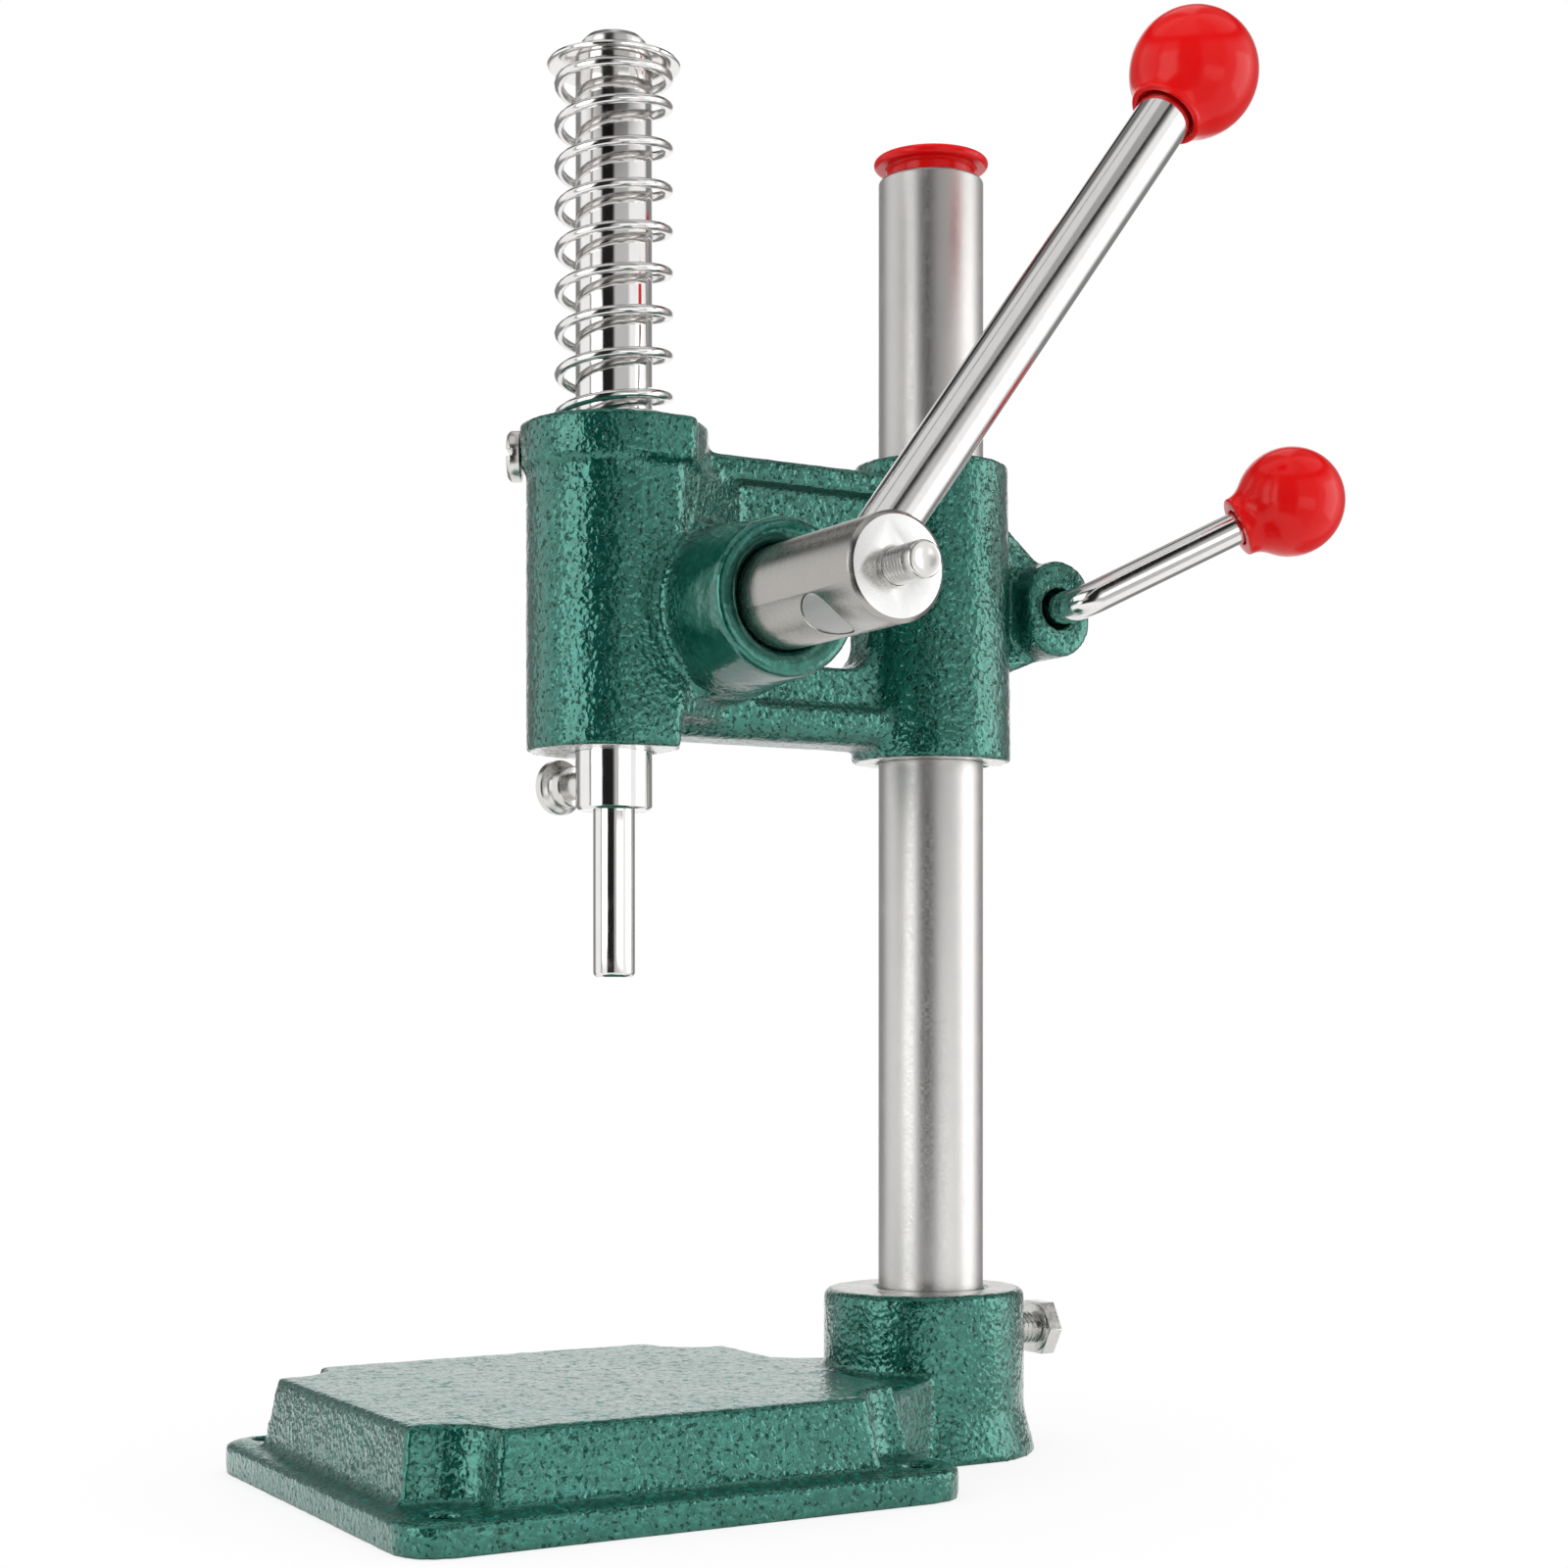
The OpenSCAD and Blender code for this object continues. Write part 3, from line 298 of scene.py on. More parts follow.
def hammer_paint(name, finish, bare_low, bare_high, plain_from):
    """Green hammer paint, a clear gloss over metal flake, on cast iron. Level faces between two heights
    are machined bare, and the paint lies smooth on the boss that stands out past plain_from along X."""
    s = Shader(name)
    fade, edge = 0.008, 0.0002
    up, z = s.facing("Z"), s.axis("Z")
    plain = s.ranged(s.axis("X"), plain_from, plain_from + fade)
    level = s.ranged(up, 0.80, 0.97)
    grain = s.minus(s.without(plain, 0.85), s.times(level, 0.35))

    # Wrinkles and rounded blobs, with small pits between them
    count = finish.hammer_count
    wrinkles = s.noise(count, detail=1.0, rough=0.45, bend=0.6)
    blobs = s.cells(count * 1.1, smooth=0.5)
    broad = s.noise(38, detail=3.0, rough=0.6)
    pits = s.times(s.ranged(s.noise(count * 1.3, detail=1.0), 0.60, 0.68), grain)
    height = s.minus(s.plus(wrinkles, s.times(blobs, 0.7)), s.times(pits, 0.5))

    # The paint is pale where it lies thin and darker in the pits; downward faces get painted shade
    thin = s.ranged(s.plus(s.times(wrinkles, 0.7), s.times(broad, 0.35)), 0.38, 0.72)
    paint = s.colours(thin, finish.paint_deep, finish.paint_thin)
    # Painted shade: faces that look downward are darkened, standing in for the shade under the ledges
    underside_shade = s.ranged(up, -0.55, -0.95)
    paint = s.colours(s.times(underside_shade, 0.85), paint, shaded(finish.paint_deep, 0.5))
    paint = s.colours(s.times(pits, 0.8), paint, shaded(finish.paint_deep, 0.35))

    # Bare iron rings on the machined ends of the bosses
    flat = s.ranged(s.times(up, up), 0.90, 0.97)
    band = s.minus(s.ranged(z, bare_low - edge, bare_low + edge),
                   s.ranged(z, bare_high - edge, bare_high + edge))
    bare = s.times(s.times(flat, band), s.ranged(s.noise(240), 0.22, 0.34))
    iron = s.colours(s.noise(900), (0.50, 0.49, 0.47), (0.72, 0.71, 0.69))
    flake = s.plus(s.ranged(broad, 0.3, 0.7, 0.70, 0.78), s.times(bare, 0.22))
    rough = s.plus(s.ranged(broad, 0.3, 0.7, 0.17, 0.24), s.times(bare, 0.12))

    # The gloss is worn on level faces, broken by dark specks and weaker in the pits
    specks = s.times(s.ranged(s.noise(330, rough=0.6), 0.57, 0.63), level)
    # Painted shade: less gloss and metal flake on faces that look downward, under the ledges
    shade = s.times(underside_shade, s.minus(1.0, bare))
    clear = s.minus(s.without(level, 0.50), s.times(specks, 0.50))
    clear = s.times(s.times(clear, s.without(pits, 0.75)), s.without(shade, 0.6))
    flake = s.minus(flake, s.plus(s.times(specks, 0.6), s.times(shade, 0.4)))

    fine = s.bump(s.noise(1500), 0.00005, strength=0.5)
    normal = s.bump(s.times(height, grain), finish.hammer_depth, after=fine)
    return s.set(Base_Color=s.colours(bare, paint, iron), Metallic=flake, Roughness=rough, Normal=normal,
                 Specular_IOR_Level=s.minus(0.5, s.times(specks, 0.45)),
                 Coat_Weight=clear, Coat_Roughness=s.plus(0.05, s.times(level, 0.12)),
                 Coat_IOR=finish.gloss_index, Coat_Normal=normal)


def ground_steel(name, colour, rough, grain, depth, warm=0.03, cut=0.0, end_highlight=0.0):
    """Steel ground or drawn along one direction, with faint streaks and a few dull spots. Grain is its
    waves in a metre along X, Y and Z. What lies nearer to the pinion's axis than the cut is sawn off grey
    and dull, and faces square to X get a painted highlight, brighter by end_highlight."""
    s = Shader(name)
    streaks = s.noise(1.0, detail=3.0, rough=0.6, at=s.stretched(grain))
    spots = s.noise(130, detail=3.0, rough=0.6)
    bright = [min(1.0, c * (1.10 - warm * k)) for k, c in enumerate(colour)]
    tone = s.colours(s.plus(s.times(streaks, 0.5), s.times(spots, 0.5)), shaded(colour, 0.86), bright)
    gloss = s.plus(s.ranged(streaks, 0.3, 0.7, rough * 0.85, rough * 1.2),
                   s.ranged(spots, 0.55, 0.75, 0.0, 0.06))
    if cut:
        y, z = s.minus(s.axis("Y"), PINION.y), s.minus(s.axis("Z"), PINION.z)
        away = s.plus(s.times(y, y), s.times(z, z))
        sawn = s.ranged(away, cut ** 2, (cut + 0.0002) ** 2, 1.0, 0.0)
        tone = s.colours(sawn, tone, (0.50, 0.50, 0.49))
        gloss = s.plus(gloss, s.times(sawn, 0.32))
    # Painted highlight: faces square to X, such as the hub's end, are made brighter
    if end_highlight:
        square = s.ranged(s.facing("X"), 0.90, 0.97)
        tone = s.colours(s.times(square, end_highlight), tone, (1.0, 1.0, 0.99))
    return s.set(Base_Color=tone, Metallic=1.0, Roughness=gloss,
                 Normal=s.bump(streaks, depth, strength=0.6))


def moulded_red(name, colour):
    """Moulded plastic with a soft gloss, a faint orange peel and small scuffs."""
    s = Shader(name)
    peel = s.noise(260)
    scuffs = s.ranged(s.noise(900, detail=4.0, rough=0.7, bend=1.0), 0.60, 0.72)
    tone = s.colours(s.noise(45, detail=3.0), shaded(colour, 0.92), shaded(colour, 1.06))
    gloss = s.plus(s.ranged(peel, 0.3, 0.7, 0.13, 0.18), s.times(scuffs, 0.12))
    return s.set(Base_Color=tone, Roughness=gloss, Specular_IOR_Level=0.26,
                 Subsurface_Weight=0.04, Subsurface_Radius=(0.004, 0.0008, 0.0006),
                 Normal=s.bump(peel, 0.00008, strength=0.35))


def plain_brass(name):
    """Turned brass, a little stained."""
    s = Shader(name)
    marks = s.noise(700, detail=3.0, rough=0.6)
    tone = s.colours(marks, (0.50, 0.33, 0.10), (0.72, 0.52, 0.20))
    return s.set(Base_Color=tone, Metallic=1.0, Roughness=s.ranged(marks, 0.3, 0.7, 0.22, 0.4),
                 Normal=s.bump(marks, 0.00003, strength=0.5))


LOOKS = {}


def make_looks(finish):
    """Makes every material of the press."""
    base_top, head_foot, bar = BASE_HIGH.z, HEAD_LOW.z, finish.bar_grey
    LOOKS["base_paint"] = hammer_paint(
        "base_hammer_paint", finish, bare_low=base_top - 0.0004, bare_high=base_top + 0.0010,
        plain_from=NOWHERE)
    LOOKS["head_paint"] = hammer_paint(
        "head_hammer_paint", finish, bare_low=head_foot - 0.0010, bare_high=head_foot + 0.0026,
        plain_from=0.028)
    LOOKS["cover_paint"] = hammer_paint(
        "cover_hammer_paint", finish, bare_low=NOWHERE, bare_high=NOWHERE + 0.1, plain_from=NOWHERE)
    LOOKS["column"] = ground_steel(
        "column_ground_steel", finish.column_grey, rough=0.37, grain=(900, 900, 2600), depth=0.000006)
    LOOKS["bar_z"] = ground_steel(
        "ram_polished_steel", bar, rough=0.085, grain=(1500, 1500, 120), depth=0.000006)
    LOOKS["bar"] = ground_steel(
        "bar_polished_chrome", bar, rough=0.10, grain=(1200, 300, 300), depth=0.000006)
    LOOKS["lever"] = ground_steel(
        "lever_polished_chrome", bar, rough=0.10, grain=(1200, 300, 300), depth=0.000006,
        cut=HUB_R - 0.0001)
    # The hub's end faces get a painted highlight
    LOOKS["hub"] = ground_steel(
        "hub_turned_steel", finish.hub_grey, rough=0.25, grain=(3200, 260, 260), depth=0.00003,
        warm=0.05, end_highlight=0.8)
    LOOKS["plated"] = ground_steel(
        "plated_steel", finish.plated_grey, rough=0.22, grain=(500, 500, 500), depth=0.00003)
    LOOKS["wire"] = ground_steel(
        "spring_wire_steel", bar, rough=0.13, grain=(800, 800, 800), depth=0.000015)
    LOOKS["red"] = moulded_red("moulded_red", finish.knob_red)
    LOOKS["brass"] = plain_brass("plain_brass")


# Shapes

def to_object(name, bm, smooth_deg=35.0):
    """Closes the mesh, points its faces outwards and shades it smooth up to an angle."""
    bmesh.ops.remove_doubles(bm, verts=bm.verts, dist=MERGE)
    bmesh.ops.recalc_face_normals(bm, faces=bm.faces)
    for edge in bm.edges:
        edge.smooth = edge.is_manifold and edge.calc_face_angle(0.0) < math.radians(smooth_deg)
    for face in bm.faces:
        face.smooth = True
    mesh = bpy.data.meshes.new(name)
    bm.to_mesh(mesh)
    bm.free()
    piece = bpy.data.objects.new(name, mesh)
    bpy.context.scene.collection.objects.link(piece)
    return piece


def dress(piece, look, body, slot, *nodes):
    """Gives a piece its material, puts it in the place of its nodes and on its body. Its slot is not used.
    """
    piece.data.materials.append(LOOKS[look])
    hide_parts(*nodes)
    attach(piece, body)


def joined(bm, other):
    """Adds another bmesh to this one and frees it."""
    mesh = bpy.data.meshes.new("joined")
    other.to_mesh(mesh)
    other.free()
    bm.from_mesh(mesh)
    bpy.data.meshes.remove(mesh)


def along(direction, origin):
    """Matrix that lays +Z along a direction from an origin."""
    turn = Vector(direction).to_track_quat("Z", "Y").to_matrix().to_4x4()
    return Matrix.Translation(Vector(origin)) @ turn


def wire_of(bm, profile):
    """Draws (radius, height) points as a wire in the XZ plane, and returns its vertices and edges."""
    corners = [bmesh.ops.create_vert(bm, co=(r, 0, z))["vert"][0] for r, z in profile]
    return corners + [bm.edges.new(pair) for pair in zip(corners, corners[1:])]


def turn_profile(bm, profile, sides):
    """Spins a profile right round the Z axis."""
    bmesh.ops.spin(bm, geom=wire_of(bm, profile), cent=(0, 0, 0), axis=(0, 0, 1), angle=2 * math.pi,
                   steps=sides, use_merge=True)
    bmesh.ops.remove_doubles(bm, verts=bm.verts, dist=MERGE)


def turned(name, profile, place, sides, smooth_deg=35.0):
    """Turned piece of one profile, moved to its place."""
    bm = bmesh.new()
    turn_profile(bm, profile, sides)
    bmesh.ops.transform(bm, matrix=place, verts=bm.verts)
    return to_object(name, bm, smooth_deg)


def arc(centre_r, centre_z, radius, from_deg, to_deg, steps=6):
    """Profile points along an arc; 0 degrees points outwards and 90 up."""
    turns = [math.radians(from_deg + (to_deg - from_deg) * k / steps) for k in range(steps + 1)]
    return [(centre_r + radius * math.cos(a), centre_z + radius * math.sin(a)) for a in turns]


def pulled(bm, edges, by, scale=1.0):
    """Draws a ring of edges out by a distance, scales it about its middle, and returns the new ring."""
    made = bmesh.ops.extrude_edge_only(bm, edges=edges)["geom"]
    verts = [g for g in made if isinstance(g, bmesh.types.BMVert)]
    bmesh.ops.translate(bm, vec=by, verts=verts)
    centre = sum((v.co for v in verts), Vector()) / len(verts)
    bmesh.ops.scale(bm, vec=(scale, scale, scale), space=Matrix.Translation(-centre), verts=verts)
    ends = set(verts)
    return [g for g in made if isinstance(g, bmesh.types.BMEdge) and set(g.verts) <= ends]


def ends_closed(bm):
    """Fills every open rim."""
    bmesh.ops.holes_fill(bm, edges=[e for e in bm.edges if e.is_boundary], sides=0)


def node_copy(node):
    """A copy of a CAD node's mesh with its corners merged."""
    bm = bmesh.new()
    bm.from_mesh(frame["nodes"][node].data)
    bmesh.ops.remove_doubles(bm, verts=bm.verts, dist=CAD_MERGE)
    bmesh.ops.dissolve_degenerate(bm, edges=bm.edges, dist=CAD_MERGE)
    return bm


def machined(name, node, width, look, body, slot):
    """Dressed piece with the shape of a CAD node, its flat faces joined up and its sharp edges bevelled by
    a small width."""
    bm = node_copy(node)
    bmesh.ops.dissolve_limit(bm, angle_limit=math.radians(0.4), verts=bm.verts, edges=bm.edges)
    sharp = [e for e in bm.edges if e.is_manifold and e.calc_face_angle(0.0) > math.radians(35)]
    bmesh.ops.bevel(bm, geom=sharp, offset=width, offset_type="OFFSET", segments=2, profile=0.5,
                    affect="EDGES", material=-1, clamp_overlap=True)
    dress(to_object(name, bm, smooth_deg=30), look, body, slot, node)


def casting(name, node, sizes, keep_flat=()):
    """Rebuilds a node on a fine grid, rounds its edges and lays a cast skin over it. Level faces at the
    heights in keep_flat stay plain."""
    bm = node_copy(node)
    mesh = bpy.data.meshes.new(name)
    bm.to_mesh(mesh)
    bm.free()
    rough = bpy.data.objects.new(name + "_rough", mesh)
    bpy.context.scene.collection.objects.link(rough)
    grid = rough.modifiers.new("Grid", "REMESH")
    grid.mode = "VOXEL"
    grid.voxel_size = sizes.cast_grid
    soften = rough.modifiers.new("Soften", "SMOOTH")
    soften.factor = 0.5
    soften.iterations = sizes.cast_rounding
    solid = bpy.data.meshes.new_from_object(rough.evaluated_get(bpy.context.evaluated_depsgraph_get()))
    bm = bmesh.new()
    bm.from_mesh(solid)
    bpy.data.objects.remove(rough)
    bpy.data.meshes.remove(mesh)
    bpy.data.meshes.remove(solid)
    low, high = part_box(node)
    bm.normal_update()
    coarse, fine, near = 210, 520, 0.0008
    for vert in bm.verts:
        at = vert.co
        lump = noise.noise(at * coarse) + 0.5 * noise.noise(at * fine)
        flat = any(abs(at.z - z) < near and abs(vert.normal.z) > 0.9 for z in keep_flat)
        vert.co = at + vert.normal * (0.0 if flat else sizes.cast_skin * lump)
        for k in range(3):
            vert.co[k] = min(max(vert.co[k], low[k]), high[k])
    return bm


def clear_bore(bm, point, axis, radius, length):
    """Holds the inner wall of a bore at its radius, so that what turns in it stays clear."""
    axis = Vector(axis).normalized()
    for vert in bm.verts:
        offset = vert.co - point
        height = offset.dot(axis)
        if 0.0 <= height <= length:
            out = offset - axis * height
            if 0.4 * radius < out.length < radius:
                vert.co += out.normalized() * (radius - out.length)


def hex_head(bm, flats, z0, z1, chamfer):
    """Hexagon head, two of its corners on the X axis, its outer corners chamfered off."""
    corner_r = flats / math.sqrt(3)
    verts = bmesh.ops.create_cone(bm, cap_ends=True, segments=6, radius1=corner_r, radius2=corner_r,
                                  depth=z1 - z0)["verts"]
    bmesh.ops.rotate(bm, cent=(0, 0, 0), matrix=Matrix.Rotation(math.radians(30), 3, "Z"), verts=verts)
    bmesh.ops.translate(bm, vec=(0, 0, (z0 + z1) / 2), verts=verts)
    top = [f for f in bm.faces if len(f.verts) == 6 and all(abs(v.co.z - z1) < MERGE for v in f.verts)]
    bmesh.ops.inset_individual(bm, faces=top, thickness=chamfer * 1.6, depth=0.0)
    for vert in verts:
        if vert.co.z > z1 - MERGE:
            vert.co.z -= chamfer


def thread(bm, radius, z0, z1):
    """Screw thread: a saw-toothed line spun one turn while it climbs by its pitch, closed at both ends."""
    pitch, root, steps = THREAD_PITCH, radius - THREAD_DEPTH, 36
    line = [(root, z0 - 0.2 * pitch)]
    for k in range(int((z1 - z0) / pitch) - 1):
        line += [(root, z0 + (k + 0.1) * pitch), (radius, z0 + (k + 0.42) * pitch),
                 (radius, z0 + (k + 0.58) * pitch), (root, z0 + (k + 0.9) * pitch)]
    new = bmesh.new()
    bmesh.ops.spin(new, geom=wire_of(new, line), cent=(0, 0, 0), axis=(0, 0, 1), angle=2 * math.pi,
                   dvec=(0, 0, pitch / steps), steps=steps, use_merge=False)
    bmesh.ops.remove_doubles(new, verts=new.verts, dist=1e-6)
    ends_closed(new)
    joined(bm, new)


def threaded_bolt(name, start, direction, length, radius, head_h, flats):
    """Bolt whose thread shows between its hole and its head, laid from its point to its head."""
    bm = bmesh.new()
    shank, shank_r, crown_h = length - head_h, radius * SHANK, 0.0005
    turn_profile(bm, [(0, 0), (radius * 0.8, 0), (shank_r, 0.0008), (shank_r, shank), (0, shank)], 48)
    thread(bm, radius, 0.001, shank)
    # A washer face under the head, the head, and a low crown in its middle
    face_r = flats * 0.47
    turn_profile(bm, [(0, shank - 0.0006), (face_r, shank - 0.0006), (face_r, shank + 0.0002),
                      (0, shank + 0.0002)], 64)
    hex_head(bm, flats, shank, length - crown_h, 0.0015)
    turn_profile(bm, [(0, length - 0.0008), (flats * 0.32, length - 0.0008), (flats * 0.30, length),
                      (0, length)], 64)
    bmesh.ops.transform(bm, matrix=along(direction, start), verts=bm.verts)
    piece = to_object(name, bm, smooth_deg=25)
    bevel = piece.modifiers.new("Broken edges", "BEVEL")
    bevel.width, bevel.segments = 0.0003, 2
    bevel.limit_method, bevel.angle_limit = "ANGLE", math.radians(40)
    return piece


def far_centre(node, ball_r):
    """Centre of a ball knob, whose neck is on the low side of every axis that it leans along."""
    _, high, _ = node_box(node)
    return Vector([high[k] - ball_r for k in range(3)])


def knob(name, centre, axis, ball_r, neck_back, neck_r, mouth_r, bore_r, bore_l):
    """Ball knob whose round flows into a short flared neck that ends neck_back from its centre. It has a
    recess for its bar and a bore for its insert."""
    lip, mouth_edge = 0.0006, 0.0003
    bore_end, seat = KNOB_RECESS + bore_l - neck_back, KNOB_RECESS - neck_back
    profile = [(0, bore_end), (bore_r, bore_end), (bore_r, seat), (mouth_r, seat),
               (mouth_r, mouth_edge - neck_back), (mouth_r + mouth_edge, -neck_back)]
    profile += arc(neck_r - lip, lip - neck_back, lip, -90, 20, 5)
    # Hollow between the lip and the ball, a curve through two points and a bend between them
    start, bend_at = Vector(profile[-1]), 0.72 * ball_r
    end = Vector((bend_at, -math.sqrt(ball_r ** 2 - bend_at ** 2)))
    slope = Vector((-end.y, end.x)).normalized()
    mid = end - slope * 0.62 * (end - start).length
    for k in range(1, 8):
        t = k / 8
        profile.append(tuple((1 - t) ** 2 * start + 2 * t * (1 - t) * mid + t ** 2 * end))
    first = math.degrees(math.atan2(end.y, end.x))
    profile += arc(0, 0, ball_r, first, 90, 36)
    return turned(name, profile, along(axis, centre), sides=96, smooth_deg=40)


# Pieces

class PRESS_OT_base(bpy.types.Operator):
    """Builds the base casting with its soft edges, and the column's clamp bolt"""
    bl_idname = "press.base"
    bl_label = "Base"

    def execute(self, context):
        sizes = context.scene.press_sizes
        bm = casting("base", "base_casting", sizes, keep_flat=(0.0,))
        clear_bore(bm, Vector((0, COLUMN_Y, 0.006)), (0, 0, 1), COLUMN_BORE, length=0.05)
        iron = to_object("base_iron", bm, smooth_deg=60)
        dress(iron, "base_paint", "base", "green_paint", "base_casting")

        low, high, middle = node_box("socket_bolt")
        bolt = threaded_bolt("socket_clamp_bolt", Vector((0, low.y, middle.z)), (0, 1, 0), high.y - low.y,
                             radius=0.00495, head_h=0.0065, flats=0.016)
        dress(bolt, "plated", "base", "bright_steel", "socket_bolt")
        return {"FINISHED"}


class PRESS_OT_column(bpy.types.Operator):
    """Builds the ground column tube and its red cap"""
    bl_idname = "press.column"
    bl_label = "Column"

    def execute(self, context):
        sizes = context.scene.press_sizes
        low, high, _ = node_box("column_tube")
        r, wall, chamfer, round_r = (high.x - low.x) / 2, 0.0025, 0.0008, 0.0012
        bore = r - wall
        place = Matrix.Translation((0, COLUMN_Y, 0))
        profile = [(bore, low.z), (r - chamfer, low.z), (r, low.z + chamfer), (r, high.z - round_r)]
        profile += arc(r - round_r, high.z - round_r, round_r, 0, 90)
        profile += [(bore, high.z), (bore, low.z)]
        tube = turned("column_ground_tube", profile, place, sizes.turned_sides)
        dress(tube, "column", "column", "column_steel", "column_tube")

        # Cap: a low dome, the flange's round rim, then the hollow plug with a small step below the flange
        low, high, _ = node_box("column_cap")
        rim, plug, wall, rim_r = (high.x - low.x) / 2, bore - 0.0001, 0.0025, 0.0014
        flange_z = high.z - 0.0046
        profile = [(0, high.z), (rim * 0.30, high.z - 0.0002), (rim * 0.62, high.z - 0.0009),
                   (rim * 0.80, high.z - 0.0015), (rim - rim_r, high.z - 0.0016)]
        profile += arc(rim - rim_r, flange_z + 0.0016, rim_r, 90, -90, 10)
        profile += [(plug + 0.0008, flange_z + 0.0002), (plug, flange_z - 0.0006), (plug, low.z + 0.001),
                    (plug - 0.001, low.z), (plug - wall, low.z), (plug - wall, flange_z),
                    (0, flange_z + 0.0005)]
        cap = turned("column_red_cap", profile, place, sizes.turned_sides)
        dress(cap, "red", "column", "red_plastic", "column_cap")
        return {"FINISHED"}


class PRESS_OT_head(bpy.types.Operator):
    """Builds the head casting, the pinion cover with its screws, and the head's small hardware"""
    bl_idname = "press.head"
    bl_label = "Head"

    def execute(self, context):
        sizes = context.scene.press_sizes
        bm = casting("head", "head_casting", sizes)
        clear_bore(bm, Vector((0, RAM_Y, HEAD_LOW.z)), (0, 0, 1), RAM_BORE, length=0.1)
        clear_bore(bm, Vector((0, COLUMN_Y, HEAD_LOW.z)), (0, 0, 1), COLUMN_BORE, length=0.1)
        clear_bore(bm, PINION, (1, 0, 0), PINION_BORE, length=0.06)
        clear_bore(bm, EAR, (1, 0, 0), EAR_BORE, length=0.03)
        iron = to_object("head_iron", bm, smooth_deg=60)
        dress(iron, "head_paint", "head", "green_paint", "head_casting")

        bm = casting("cover", "pinion_cover", sizes)
        clear_bore(bm, PINION - Vector((0.04, 0, 0)), (1, 0, 0), COVER_BORE, length=0.06)
        iron = to_object("cover_iron", bm, smooth_deg=60)
        dress(iron, "cover_paint", "head", "green_paint", "pinion_cover")

        for name, node, look, slot, edge in (
                ("cover_socket_screws", "cover_screws", "plated", "bright_steel", 0.0004),
                ("right_thrust_washer", "thrust_washer_right", "plated", "bright_steel", 0.0001),
                ("left_thrust_washer", "thrust_washer_left", "plated", "bright_steel", 0.0001),
                ("front_drag_screw", "drag_screw", "plated", "bright_steel", 0.0005),
                ("brass_drag_pad", "drag_pad", "brass", "brass", 0.0001),
                ("clamp_hex_nut", "clamp_nut", "plated", "bright_steel", 0.0004)):
            machined(name, node, edge, look, "head", slot)
        return {"FINISHED"}


class PRESS_OT_lever(bpy.types.Operator):
    """Builds the pinion and hub, the lever bar with its knob, and the set screw"""
    bl_idname = "press.lever"
    bl_label = "Lever"

    def execute(self, context):
        sizes = context.scene.press_sizes
        machined("pinion_and_hub", "pinion_shaft", sizes.edge_break, "hub", "lever", "hub_steel")

        # Bar from the hub's axis to the bottom of the knob's recess, then the stud in the knob's insert
        low, high, middle = node_box("lever_rod")
        root = Vector((middle.x, PINION.y, PINION.z))
        bar_r, ball_r, stud_r, stud_l = (high.x - low.x) / 2, 0.01825, 0.005, 0.015
        neck_in, foot_edge, top_edge = 0.0009, 0.0004, 0.0006
        centre = far_centre("lever_ball", ball_r)
        top = (centre - root).length - ball_r + neck_in + KNOB_RECESS
        profile = [(bar_r * k / 8, 0) for k in range(8)] + [(bar_r - foot_edge, 0), (bar_r, foot_edge)]
        profile += [(bar_r, top - top_edge), (bar_r - top_edge, top), (stud_r, top),
                    (stud_r, top + stud_l), (0, top + stud_l)]
        bm = bmesh.new()
        turn_profile(bm, profile, sizes.turned_sides)
        # The lower end follows the round of the hub, a little below it
        for vert in bm.verts:
            if vert.co.z < 0.0005:
                vert.co.z -= math.sqrt(HUB_R ** 2 - vert.co.y ** 2) - 0.0003
        way = (centre - root).normalized()
        place = Matrix.Translation(root) @ Matrix.Rotation(math.atan2(-way.y, way.z), 4, "X")
        bmesh.ops.transform(bm, matrix=place, verts=bm.verts)
        bar = to_object("lever_bar", bm, smooth_deg=30)
        dress(bar, "lever", "lever", "chrome_bar", "lever_rod")

        machined("lever_insert", "lever_ball_insert", 0.0001, "brass", "lever", "brass")
        ball = knob("lever_knob", centre, centre - root, ball_r, neck_back=ball_r - neck_in, neck_r=0.0106,
                    mouth_r=bar_r + 0.0008, bore_r=0.0072, bore_l=stud_l)
        dress(ball, "red", "lever", "red_plastic", "lever_ball")

        # Set screw: the thread ends in a plain round head with a low dimple
        low, high, _ = node_box("lever_set_screw")
        r, length, round_r, dimple = 0.00495, high.x - low.x, 0.0009, 0.0002
        bm = bmesh.new()
        profile = [(0, 0), (r * SHANK, 0), (r * SHANK, length - 0.0045), (r, length - 0.0040)]
        profile += arc(r - round_r, length - round_r, round_r, 0, 90)
        profile += [(r * 0.55, length), (r * 0.45, length - dimple), (0, length - dimple)]
        turn_profile(bm, profile, 64)
        thread(bm, r, 0.002, length - 0.0035)
        bmesh.ops.transform(bm, matrix=along((1, 0, 0), (low.x, PINION.y, PINION.z)), verts=bm.verts)
        screw = to_object("hub_set_screw", bm, smooth_deg=30)
        dress(screw, "plated", "lever", "bright_steel", "lever_set_screw")
        return {"FINISHED"}


